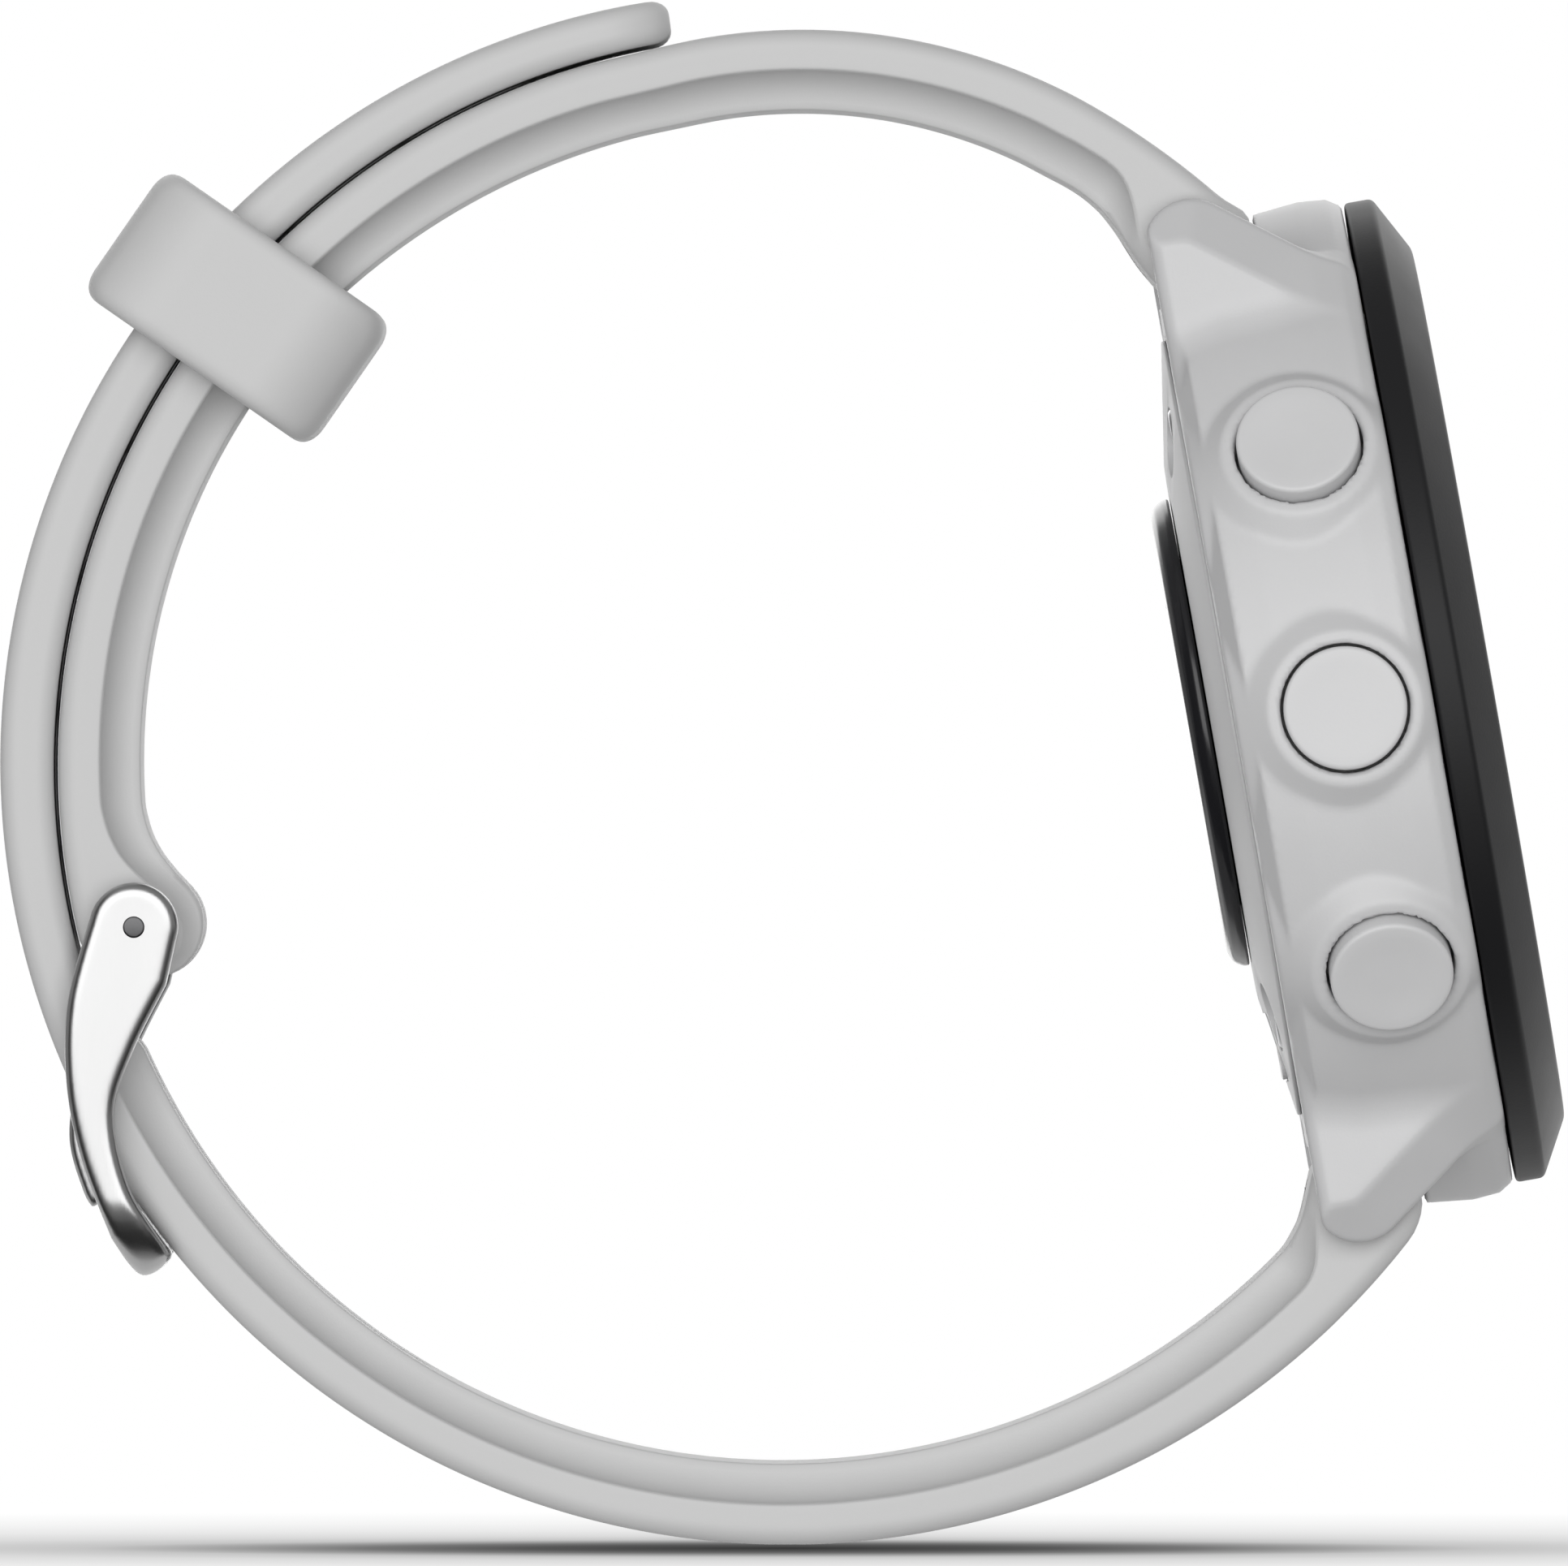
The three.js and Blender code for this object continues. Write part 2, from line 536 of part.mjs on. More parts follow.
// The end of a strap piece round its spring bar, tucked into the notch of the case; end is 1 at 6 o'clock.
// It runs a little way into the swept strap, just inside its faces, so that the two join.
function strapRoot(end, angle, outer, inner) {
  const wrap = 2.15;
  const sink = 0.04;
  const corners = [
    [22.0, -0.7], [21.0, 0.1], [20.2, BAR_Z - wrap - 0.1],
    ...[235, 205, 180, 155, 130].map((turn) => {
      const radius = Math.min(wrap, (BAR_X - NOTCH_X - 0.25) / Math.max(0.01, -Math.cos(rad(turn))));
      return [BAR_X + radius * Math.cos(rad(turn)), BAR_Z + radius * Math.sin(rad(turn))];
    }),
    [20.3, NOTCH_Z - 0.2], [21.25, NOTCH_Z - 0.2],
  ].map(([x, z]) => fromCase([end * x, z]));
  const rootAngle = end > 0 ? 325 : 52;
  const outerSide = [0, 1, 2, 3].map((n) => {
    const step = mix(rootAngle, angle, n / 3);
    return pointAt(outer(step) - sink, step);
  });
  const deep = angle - 2 * end;
  const overlap = [pointAt(outer(deep) - 0.3, deep), pointAt(inner(deep) + 0.3, deep)];
  const outline = [...corners, ...outerSide, ...overlap, pointAt(inner(angle) + sink, angle)];
  return sidePlate(outline, -STRAP_HALF + sink, STRAP_HALF - sink);
}

function holesAt(angles, outer, inner) {
  return angles.map((angle) => {
    const middle = (outer(angle) + inner(angle)) / 2;
    const slot = roundPlate(0, 0, 2 * HOLE_HALF_LENGTH, 2 * HOLE_HALF_WIDTH, HOLE_HALF_WIDTH - 0.1, -4, 4);
    const [x, z] = pointAt(middle, angle);
    return slot.rotateY(rad(90 - angle)).translate(x, 0, z);
  });
}

function sweepAngles(from, to, step) {
  const count = Math.ceil(Math.abs(to - from) / step);
  return Array.from({ length: count + 1 }, (_, n) => mix(from, to, n / count));
}

// The release knob of a spring bar lies in a slot on the inner side of the strap, in the case's frame.
const KNOB_Y = 7.2;
const KNOB_TRAVEL = 1.4;

function knobSlot(end) {
  const slot = block([-0.8, 0.8], [KNOB_Y - KNOB_TRAVEL - 1, KNOB_Y + 1], [-5.5, 0]);
  const [x, z] = fromCase([end * BAR_X, BAR_Z]);
  return slot.rotateY(rad(90 - CASE_TILT)).translate(x, 0, z);
}

function barBore(end) {
  const [x, z] = fromCase([end * BAR_X, BAR_Z]);
  return crossBar(BAR_R + 0.1, x, z, -11, 11, 20);
}

function tailStrap() {
  const body = sweepAngles(TAIL_ROOT - 4, TAIL_TIP + 6, 4).map((angle) =>
    strapLoop(angle, tailOuter, tailInner, STRAP_HALF));
  const degreesPerMillimetre = 180 / Math.PI / 32;
  const tip = [[3, 0, 0], [1.5, 0.4, 0], [0.8, 0.9, 0], [0.25, 1.8, 0.25], [0, 2.6, 0.6]].map(([back, narrow, pinch]) =>
    strapLoop(TAIL_TIP + back * degreesPerMillimetre, tailOuter, tailInner, STRAP_HALF - narrow, pinch));
  const root = strapRoot(1, TAIL_ROOT - 4, tailOuter, tailInner);
  const holes = Array.from({ length: 12 }, (_, n) => TONGUE_HOLE + (n - 8) * HOLE_STEP);
  return cut(join(skin([...body, ...tip]), root), barBore(1), knobSlot(1), ...holesAt(holes, tailOuter, tailInner));
}

function buckleStrap() {
  const body = sweepAngles(BAND_ROOT, 191, 4).map((angle) => strapLoop(angle, bandOuter, bandInner, STRAP_HALF));
  const root = strapRoot(-1, BAND_ROOT, bandOuter, bandInner);
  const bulge = crossBar(BULGE_R, BULGE_X, BULGE_Z, -STRAP_HALF, STRAP_HALF, 28);
  // The strap swells into the bulge on its inner side, and runs on along the tail on its outer side.
  const swell = [[1.5, 1.74], [1.02, 2.26], [0.37, 3.08], [-0.04, 3.9], [-0.35, 4.75]];
  const shoulder = sidePlate([
    ...[184, 187, 190, 193, 194.5].map((angle) => pointAt(reach(INTERFACE, angle) - INTERFACE_GAP / 2 - 0.03, angle)),
    ...[[-2.15, -1.45], [-1, -1.4], [0, 0], ...swell].map(([x, z]) => [BULGE_X + x, BULGE_Z + z]),
  ], -STRAP_HALF + 0.04, STRAP_HALF - 0.04);
  const underTail = skin(sweepAngles(185, 203, 3).map((angle) => strapLoop(angle, () => 40, tailInner, 11)));
  const bore = crossBar(PIN_R + PIN_CLEARANCE, PIN_X, PIN_Z, -11, 11, 20);
  const tongueSlot = block([PIN_X - 3, PIN_X + 3], [-1.5, 1.5], [PIN_Z - 4, PIN_Z + 1.7]);
  return cut(join(skin(body), root, shoulder, bulge), underTail, bore, tongueSlot, barBore(-1), knobSlot(-1));
}

function keeperLoop() {
  const shape = new THREE.Shape();
  const [a, b] = [KEEPER_ACROSS / 2 - KEEPER_CORNER, KEEPER_ALONG / 2 - KEEPER_CORNER];
  for (const [sa, sb, turn] of [[1, 1, 0], [-1, 1, 90], [-1, -1, 180], [1, -1, 270]]) {
    shape.absarc(sa * a, sb * b, KEEPER_CORNER, rad(turn), rad(turn + 90), false);
  }
  const plan = new THREE.Shape();
  const fall = KEEPER_ACROSS / 2 - KEEPER_FLAT;
  for (const [sx, sy, turn] of [[1, 1, 0], [-1, 1, 90], [-1, -1, 180], [1, -1, 270]]) {
    plan.absellipse(sx * KEEPER_FLAT, sy * (KEEPER_HALF - KEEPER_ROUND), fall, KEEPER_ROUND,
      rad(turn), rad(turn + 90), false);
  }
  const envelope = new THREE.ExtrudeGeometry(plan, { depth: 8, bevelEnabled: false, curveSegments: 7 });
  const blank = common(sidePlate(shape, -KEEPER_HALF, KEEPER_HALF, 5), envelope.translate(0, 0, -4));
  const placed = geometryOf(blank).rotateY(rad(-KEEPER_TURN)).translate(KEEPER_CENTRE[0], 0, KEEPER_CENTRE[1]);
  const clearance = 0.35;
  const opening = sweepAngles(126, 152, 2).map((angle) => {
    const [low, high] = [bandInner(angle) - clearance, tailOuter(angle) + clearance];
    return [[low, -1], [high, -1], [high, 1], [low, 1]].map(([reachOut, side]) => {
      const [x, z] = pointAt(reachOut, angle);
      return new THREE.Vector3(x, side * (STRAP_HALF + 0.3), z);
    });
  });
  return cut(placed, skin(opening));
}

// ---------------------------------------------------------------- buckle and spring bars

// The side view of an arm, from the pin: a round head, an S to the end bar, and a round foot.
function armOutline() {
  const v = (x, z) => new THREE.Vector2(PIN_X + x, PIN_Z + z);
  const shape = new THREE.Shape();
  shape.absarc(PIN_X, PIN_Z, ARM_HEAD_R, rad(-5), rad(160), false);
  shape.splineThru([
    v(-2.77, -3.08), v(-2.84, -6.6), v(-2.19, -9.85), v(-0.96, -13.09),
  ]);
  shape.splineThru([v(-0.18, -14.26), v(0.41, -14.8), v(1.12, -14.39), v(1.5, -13.88), v(1.43, -13.61)]);
  shape.splineThru([v(-0.18, -11.01), v(-0.82, -7.9), v(-0.07, -5.3), v(1.36, -2.43)]);
  return shape;
}

function buckleFrame() {
  const arms = [-ARM_OUTER, ARM_INNER].map((y) => sidePlate(armOutline(), y, y + ARM_OUTER - ARM_INNER, 6));
  const bar = common(
    sidePlate(armOutline(), -ARM_INNER - 0.2, ARM_INNER + 0.2, 6),
    block([-40, 0], [-20, 20], [0, 14.1]),
  );
  const strapRoom = skin(sweepAngles(206, 230, 2).map((angle) =>
    strapLoop(angle, (at) => tailOuter(at) + 0.25, tailInner, ARM_INNER - 0.05)));
  const pinHoles = crossBar(PIN_R, PIN_X, PIN_Z, -20, 20, 24);
  const height = 40;
  const outside = roundPlate(FRAME_FOOT + height / 2, 0, height, 2 * ARM_OUTER, FRAME_CORNER, 0, 40);
  outside.rotateY(rad(-90));
  return cut(common(join(...arms, cut(bar, strapRoom)), outside), pinHoles);
}

function buckleTongue() {
  const v = (x, z) => new THREE.Vector2(PIN_X + x, PIN_Z + z);
  const shape = new THREE.Shape();
  shape.absarc(PIN_X, PIN_Z, 1.35, rad(-20), rad(215), false);
  shape.splineThru([v(-1.45, -3.0), v(-2.5, -6.1), v(-2.9, -8.9), v(-2.3, -11.2), v(-1.85, -11.95)]);
  shape.lineTo(PIN_X - 1.2, PIN_Z - 11.6);
  shape.splineThru([v(-1.55, -10.9), v(-2.05, -8.9), v(-1.7, -6.1), v(-0.6, -3.0), v(0.75, -1.2)]);
  const hole = crossBar(PIN_R + PIN_CLEARANCE, PIN_X, PIN_Z, -3, 3, 20);
  return cut(sidePlate(shape, -1.05, 1.05, 5), hole);
}

function buckle() {
  addPiece(watch, "buckle_frame", buckleFrame(), steel);
  addPiece(watch, "buckle_tongue", buckleTongue(), steel);
  const pin = crossBar(PIN_R - 0.02, PIN_X, PIN_Z, -ARM_OUTER + 0.05, ARM_OUTER - 0.05, 20);
  addPiece(watch, "buckle_pin", pin, steel);
}

// A spring bar: a tube with a fixed tip at -y and an open bore and slot for the release pin at +y.
function barTube() {
  const tube = crossBar(BAR_R, 0, 0, -9.85, 9.85, 20);
  const tip = crossBar(TIP_R, 0, 0, -TIP_END, -9.8, 16);
  const bore = crossBar(0.66, 0, 0, 2, 11, 16);
  const slot = block([-0.62, 0.62], [KNOB_Y - KNOB_TRAVEL - 0.7, KNOB_Y + 0.7], [-2, 0]);
  return cut(join(tube, tip), bore, slot);
}

function releasePin() {
  const rod = crossBar(0.56, 0, 0, 4.2, 9.8, 16);
  const tip = crossBar(TIP_R, 0, 0, 9.75, TIP_END, 16);
  const knob = disc(0.5, -2.1, 0, 16).translate(0, KNOB_Y, 0);
  return join(rod, tip, knob);
}

function springBars() {
  for (const [name, end] of [["upper", -1], ["lower", 1]]) {
    const group = new THREE.Group();
    group.position.set(end * BAR_X, 0, BAR_Z);
    caseGroup.add(group);
    addPiece(group, `${name}_spring_bar`, barTube(), steel);
    addPiece(group, `${name}_release_pin`, releasePin(), steel);
  }
}

// ---------------------------------------------------------------- the watch

addPiece(caseGroup, "case_body", caseBody(), polymer);
displayStack();
electronics();
buttons();
backOfCase();
addPiece(watch, "buckle_strap", buckleStrap(), silicone);
addPiece(watch, "tail_strap", tailStrap(), silicone);
addPiece(watch, "keeper_loop", keeperLoop(), silicone);
buckle();
springBars();

export default watch;
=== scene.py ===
"""A round running watch on a closed silicone strap: the looks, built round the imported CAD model.

Shapes are worked out in millimetres and become metres when a mesh is made.
"""
import json
import math

import bmesh
import bpy
import numpy as np
from mathutils import Matrix, Vector


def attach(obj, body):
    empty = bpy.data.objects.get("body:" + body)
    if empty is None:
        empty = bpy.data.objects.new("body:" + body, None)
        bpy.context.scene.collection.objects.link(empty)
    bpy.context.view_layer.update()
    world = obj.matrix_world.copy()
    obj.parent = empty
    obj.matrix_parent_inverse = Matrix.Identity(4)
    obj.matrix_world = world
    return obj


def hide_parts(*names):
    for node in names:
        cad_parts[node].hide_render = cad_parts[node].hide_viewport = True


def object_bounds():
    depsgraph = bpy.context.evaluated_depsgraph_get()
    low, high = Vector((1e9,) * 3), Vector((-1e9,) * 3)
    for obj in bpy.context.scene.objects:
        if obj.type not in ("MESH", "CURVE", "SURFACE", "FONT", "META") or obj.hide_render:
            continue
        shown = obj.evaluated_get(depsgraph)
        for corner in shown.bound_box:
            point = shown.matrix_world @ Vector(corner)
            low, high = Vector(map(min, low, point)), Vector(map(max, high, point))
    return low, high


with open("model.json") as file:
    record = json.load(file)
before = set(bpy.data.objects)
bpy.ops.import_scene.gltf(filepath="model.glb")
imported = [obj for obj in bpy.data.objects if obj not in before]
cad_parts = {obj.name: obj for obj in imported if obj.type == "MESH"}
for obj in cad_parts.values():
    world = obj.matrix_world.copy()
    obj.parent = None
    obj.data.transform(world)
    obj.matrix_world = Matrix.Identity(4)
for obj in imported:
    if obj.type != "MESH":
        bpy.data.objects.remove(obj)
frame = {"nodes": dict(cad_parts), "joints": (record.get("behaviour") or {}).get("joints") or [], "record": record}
cad_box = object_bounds()

MM = 0.001
RECORD = frame["record"]
MOUNTS = {m["name"]: m for m in RECORD["mounts"]}
JOINTS = {j["name"]: j for j in frame["joints"]}
# Each button's angle round the case, in degrees, from its side: 1 is 3 o'clock and -1 is 9 o'clock
BUTTONS = {"light": (-31, -1), "up": (0, -1), "down": (31, -1), "start": (-31, 1), "back": (31, 1)}


# ------------------------ places from the frame

LENS_TOP = 11.85  # outer face of the lens above the flat back


def case_to_watch():
    """The case's frame in the watch's, in mm: z out of the display, x to 6 o'clock, from the flat back."""
    out = Vector(MOUNTS["lens_front"]["axis"]).normalized()
    across = Vector((0, 1, 0))
    down = across.cross(out)
    origin = Vector(MOUNTS["lens_front"]["pos_m"]) / MM - out * LENS_TOP
    return Matrix.Translation(origin) @ Matrix((down, across, out)).transposed().to_4x4()


CASE = case_to_watch()
WATCH = Matrix.Identity(4)
# The lower spring bar in the case's frame, and the buckle's pin in the watch's
BAR_X, _, BAR_Z = CASE.inverted() @ (Vector(JOINTS["tail_strap_turn"]["pos_m"]) / MM)
PIN_X, _, PIN_Z = Vector(JOINTS["buckle_turn"]["pos_m"]) / MM


# ------------------------ meshes

def add_object(name, verts, faces, mats, slot, body, place=WATCH, finish=None, smooth=True):
    """A closed mesh object from points in mm in the frame of place, riding on a body.

    Its material is that of its slot, unless finish names another.
    """
    mesh = bpy.data.meshes.new(name)
    points = np.asarray(verts, float) @ np.array(place.to_3x3()).T + np.array(place.translation)
    mesh.from_pydata((points * MM).tolist(), [], [list(f) for f in faces])
    mesh.validate()
    mesh.polygons.foreach_set("use_smooth", [smooth] * len(mesh.polygons))
    obj = bpy.data.objects.new(name, mesh)
    bpy.context.scene.collection.objects.link(obj)
    mesh.materials.append(mats[finish or slot])
    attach(obj, body)
    return outward(obj)


def outward(obj):
    """Turns every face of a closed mesh outwards."""
    bm = bmesh.new()
    bm.from_mesh(obj.data)
    bmesh.ops.recalc_face_normals(bm, faces=bm.faces)
    bm.to_mesh(obj.data)
    bm.free()
    return obj


def apply_modifiers(obj):
    """Leaves the object's mesh as its modifiers make it."""
    depsgraph = bpy.context.evaluated_depsgraph_get()
    made = bpy.data.meshes.new_from_object(obj.evaluated_get(depsgraph))
    obj.modifiers.clear()
    obj.data = made
    return obj


def bevel(obj, width, segments, angle):
    """Rounds edges sharper than an angle, by a width in mm."""
    modifier = obj.modifiers.new("bevel", "BEVEL")
    modifier.width = width * MM
    modifier.segments = segments
    modifier.limit_method = "ANGLE"
    modifier.angle_limit = math.radians(angle)
    return apply_modifiers(obj)


def subtract(obj, cutters):
    """Cuts the cutters out of obj, removes them and shades the result smooth."""
    for cutter in cutters:
        modifier = obj.modifiers.new("cut", "BOOLEAN")
        modifier.operation = "DIFFERENCE"
        modifier.object = cutter
        modifier.solver = "EXACT"
    apply_modifiers(obj)
    for cutter in cutters:
        bpy.data.objects.remove(cutter)
    obj.data.polygons.foreach_set("use_smooth", [True] * len(obj.data.polygons))
    return obj


def cutter(name, verts, faces):
    """A solid to cut with, in mm in the watch's frame; it is removed once it has cut."""
    mesh = bpy.data.meshes.new(name)
    mesh.from_pydata((np.asarray(verts, float) * MM).tolist(), [], [list(f) for f in faces])
    obj = bpy.data.objects.new(name, mesh)
    bpy.context.scene.collection.objects.link(obj)
    return outward(obj)


def prism_faces(count):
    """Faces of the solid between two rings of that many points."""
    sides = [[k, (k + 1) % count, count + (k + 1) % count, count + k] for k in range(count)]
    return [list(range(count)), list(range(count, 2 * count)), *sides]


def arc(cx, cy, radius, start, end, count):
    turns = np.radians(np.linspace(start, end, count))
    return [(cx + radius * math.cos(t), cy + radius * math.sin(t)) for t in turns]


SIDE_SHARE = 0.45  # how much of a side one rounded corner may take


def round_corner(before, corner, after, radius, steps):
    """Points along one corner of an outline, rounded by up to radius."""
    before, corner, after = (np.array(p, float) for p in (before, corner, after))
    back, ahead = np.linalg.norm(before - corner), np.linalg.norm(after - corner)
    reach_in = min(radius, SIDE_SHARE * back, SIDE_SHARE * ahead)
    start = corner + (before - corner) / back * reach_in
    end = corner + (after - corner) / ahead * reach_in
    times = [k / steps for k in range(steps + 1)]
    return [(1 - t) ** 2 * start + 2 * t * (1 - t) * corner + t * t * end for t in times]


def rounded(profile, radius, steps):
    """A closed outline with each corner rounded by up to radius."""
    count = len(profile)
    corners = [[profile[(i + k) % count] for k in (-1, 0, 1)] for i in range(count)]
    return [p for corner in corners for p in round_corner(*corner, radius, steps)]


def open_rounded(profile, radius, steps):
    """The same as rounded, for an outline with two ends that stay where they are."""
    corners = zip(profile, profile[1:], profile[2:])
    middle = [p for corner in corners for p in round_corner(*corner, radius, steps)]
    return [np.array(profile[0], float), *middle, np.array(profile[-1], float)]


def lathe(profile, segments):
    """Vertices and faces of a profile of (radius, z) turned about z; radius 0 makes a pole."""
    verts, faces, rings = [], [], []
    for r, z in profile:
        if r < 1e-6:
            rings.append([len(verts)] * segments)
            verts.append((0, 0, z))
            continue
        rings.append(list(range(len(verts), len(verts) + segments)))
        for k in range(segments):
            turn = 2 * math.pi * k / segments
            verts.append((r * math.cos(turn), r * math.sin(turn), z))
    pairs = list(zip(rings, rings[1:]))
    if profile[0][0] > 1e-6:
        pairs.append((rings[-1], rings[0]))
    for low, high in pairs:
        for k in range(segments):
            n = (k + 1) % segments
            corners = list(dict.fromkeys([low[k], low[n], high[n], high[k]]))
            if len(corners) > 2:
                faces.append(corners)
    return verts, faces


def turned(name, profile, mats, slot, body, place, radius=0.15, segments=128, steps=4):
    """A lathe-turned piece with softened corners; a profile that starts on the axis also ends there."""
    soften = open_rounded if profile[0][0] == 0 else rounded
    verts, faces = lathe([tuple(p) for p in soften(profile, radius, steps)], segments)
    return add_object(name, verts, faces, mats, slot, body, place)


# ------------------------ solids from distance fields

def soft_max(a, b, k):
    """The larger of two fields, with the crease between them rounded by about k."""
    return np.maximum(a, b) + np.maximum(k - np.abs(a - b), 0) ** 2 / (4 * k)


def soft_min(a, b, k):
    return -soft_max(-a, -b, k)


def all_of(k, *fields):
    """Inside every one of the fields, with edges rounded by about k."""
    result = fields[0]
    for field in fields[1:]:
        result = soft_max(result, field, k)
    return result


def polygon_distance(px, pz, corners):
    """Signed distance in a plane to a closed outline, negative inside."""
    corners = np.asarray(corners, float)
    best = np.full(np.shape(px), 1e9)
    inside = np.zeros(np.shape(px), bool)
    for (ax, az), (bx, bz) in zip(corners, np.roll(corners, -1, axis=0)):
        ex, ez = bx - ax, bz - az
        wx, wz = px - ax, pz - az
        t = np.clip((wx * ex + wz * ez) / (ex * ex + ez * ez), 0, 1)
        best = np.minimum(best, (wx - ex * t) ** 2 + (wz - ez * t) ** 2)
        crosses = (az > pz) != (bz > pz)
        with np.errstate(divide="ignore", invalid="ignore"):
            at = ax + (pz - az) / (bz - az if bz != az else 1e-12) * ex
        inside ^= crosses & (px < at)
    return np.where(inside, -1, 1) * np.sqrt(best)


def surface(field, low, high, step):
    """A closed quad mesh where field(x, y, z) is 0, negative inside, by surface nets on a grid in mm."""
    axes = [np.arange(a - 2 * step, b + 3 * step, step) for a, b in zip(low, high)]
    value = field(*np.meshgrid(*axes, indexing="ij"))
    inside = value < 0
    corners = [inside[i:i - 1 or None, j:j - 1 or None, k:k - 1 or None]
               for i in (0, 1) for j in (0, 1) for k in (0, 1)]
    count = sum(c.astype(np.int8) for c in corners)
    cells = np.argwhere((count > 0) & (count < 8))
    index = np.full(count.shape, -1)
    index[tuple(cells.T)] = np.arange(len(cells))
    total = np.zeros((len(cells), 3))
    hits = np.zeros(len(cells))
    for axis in range(3):
        others = [a for a in range(3) if a != axis]
        for corner in ((0, 0), (0, 1), (1, 0), (1, 1)):  # the four edges of each cell along this axis
            start = cells.copy()
            start[:, others] += corner
            end = start.copy()
            end[:, axis] += 1
            a, b = value[tuple(start.T)], value[tuple(end.T)]
            cross = (a < 0) != (b < 0)
            t = np.where(cross, a / np.where(cross, a - b, 1), 0)
            point = start.astype(float)
            point[:, axis] += t
            total[cross] += point[cross]
            hits += cross
    verts = total / hits[:, None] * step + np.array([a[0] for a in axes])
    verts = settle(field, verts, step)
    faces = []
    for axis in range(3):
        u, v = [a for a in range(3) if a != axis]
        first = np.moveaxis(inside, axis, 0)
        change = np.moveaxis(first[1:] != first[:-1], 0, axis)
        edges = np.argwhere(change)
        edges = edges[(edges[:, u] > 0) & (edges[:, v] > 0)]
        quad = []
        for corner in ((0, 0), (-1, 0), (-1, -1), (0, -1)):  # the four cells round each crossed edge
            cell = edges.copy()
            cell[:, (u, v)] += corner
            quad.append(index[tuple(cell.T)])
        quad = np.stack(quad, axis=1)
        flip = inside[tuple(edges.T)] != (axis == 1)
        quad[~flip] = quad[~flip][:, ::-1]
        faces.append(quad)
    return verts, np.concatenate(faces)


def settle(field, verts, step, rounds=2):
    """Moves each vertex onto the surface, by no more than half a cell."""
    start = verts.copy()
    small = step * 0.05
    for _ in range(rounds):
        x, y, z = verts.T
        here = field(x, y, z)
        slope = np.stack([
            field(x + small, y, z) - here, field(x, y + small, z) - here, field(x, y, z + small) - here,
        ], axis=1) / small
        length = np.maximum((slope ** 2).sum(axis=1), 0.2)
        verts = verts - slope * (here / length)[:, None]
        verts = start + np.clip(verts - start, -step / 2, step / 2)
    return verts


# ------------------------ watch case

# Sizes in the case's own frame, heights above its flat back
CASE_R, CASE_FOOT, CASE_TOP = 21.2, 0.95, 9.3
BUTTON_Z = 5.6
INSIDE = -25  # closes the barrel's outline beyond the axis
BARREL = [(INSIDE, CASE_FOOT), (19.2, CASE_FOOT), (20.8, 1.65), (21.1, 3.2), (CASE_R, BUTTON_Z), (21.4, 7.5),
          (21.3, 8.65), (20.9, CASE_TOP), (INSIDE, CASE_TOP)]
LUG_R, LUG_INNER, LUG_OUTER = 2.07, 10.2, 12.9
LUG_CORE = [(BAR_X, BAR_Z), (16.6, 7.5), (12, 7.5), (12, BAR_Z)]
NOTCH_X, NOTCH_Z = 18.05, 5.5  # room for the strap's end between two lugs
BAR_HOLE_R, BAR_HOLE_END = 0.5, 11.5
CAVITY_R, CAVITY_HALF_X, CAVITY_FLOOR, CAVITY_WIDE = 18, 16.8, 1.9, 6.4  # fully round above the last
POST_R, POST_TOP, POST_HOLE_R, POST_HOLE_TOP = 1.7, 6.2, 0.75, 5.6
SCREW_X, SCREW_Y = 12.3, 6.5
COVER_R, COVER_TOP, COVER_BORE = 16.6, 1.75, 7.55
CONTACT_X, CONTACT_STEP = 13.6, 1.9
CAP_R, CAP_IN, CAP_OUT = 2.6, 20.4, 22.4
STEM_R, STEM_END = 0.75, 16.85
GROOVE_R, GROOVE = 0.55, (17.3, 17.75)  # where a stem's clip sits
GUARD_R, GUARD_OUT, GUARD_IN = 3.25, 21.7, 16  # flat ring round a button, at the top of a 45 degree cone
BORE = ((CAP_R + 0.13, 19.75), (1.35, 18.7), (0.85, GUARD_IN))  # each step's radius and inner end
# Scale of a sum of two distances at right angles, such as a cone or a bevel; the lugs' is a round number
DIAGONAL, LUG_DIAGONAL = 0.7071, 0.7
LENS_R, LENS_FOOT = 17.35, 10.7
BEZEL_R, BEZEL_BORE, BEZEL_FOOT, FRONT = 21, 16.75, 9.4, 11.9


def button_axis(name):
    """Unit vector out along a button in the case's frame."""
    angle, side = BUTTONS[name]
    turn = math.radians(angle)
    return math.sin(turn), side * math.cos(turn)


def lug_field(x, y, z):
    """A lug is everything within LUG_R of a quadrilateral, its outer edges bevelled at 45 degrees."""
    ax, ay = np.abs(x), np.abs(y)
    side = polygon_distance(ax, z, LUG_CORE) - LUG_R
    over = ay - LUG_OUTER
    return all_of(
        0.18, side, over, LUG_INNER - ay,
        (0.8 * (ax - BAR_X) + 0.6 * (z - BAR_Z) - 0.15 + over) * LUG_DIAGONAL,
        (ax - BAR_X - 0.35 + over) * LUG_DIAGONAL,
        (1.35 - z + over) * LUG_DIAGONAL,
    )


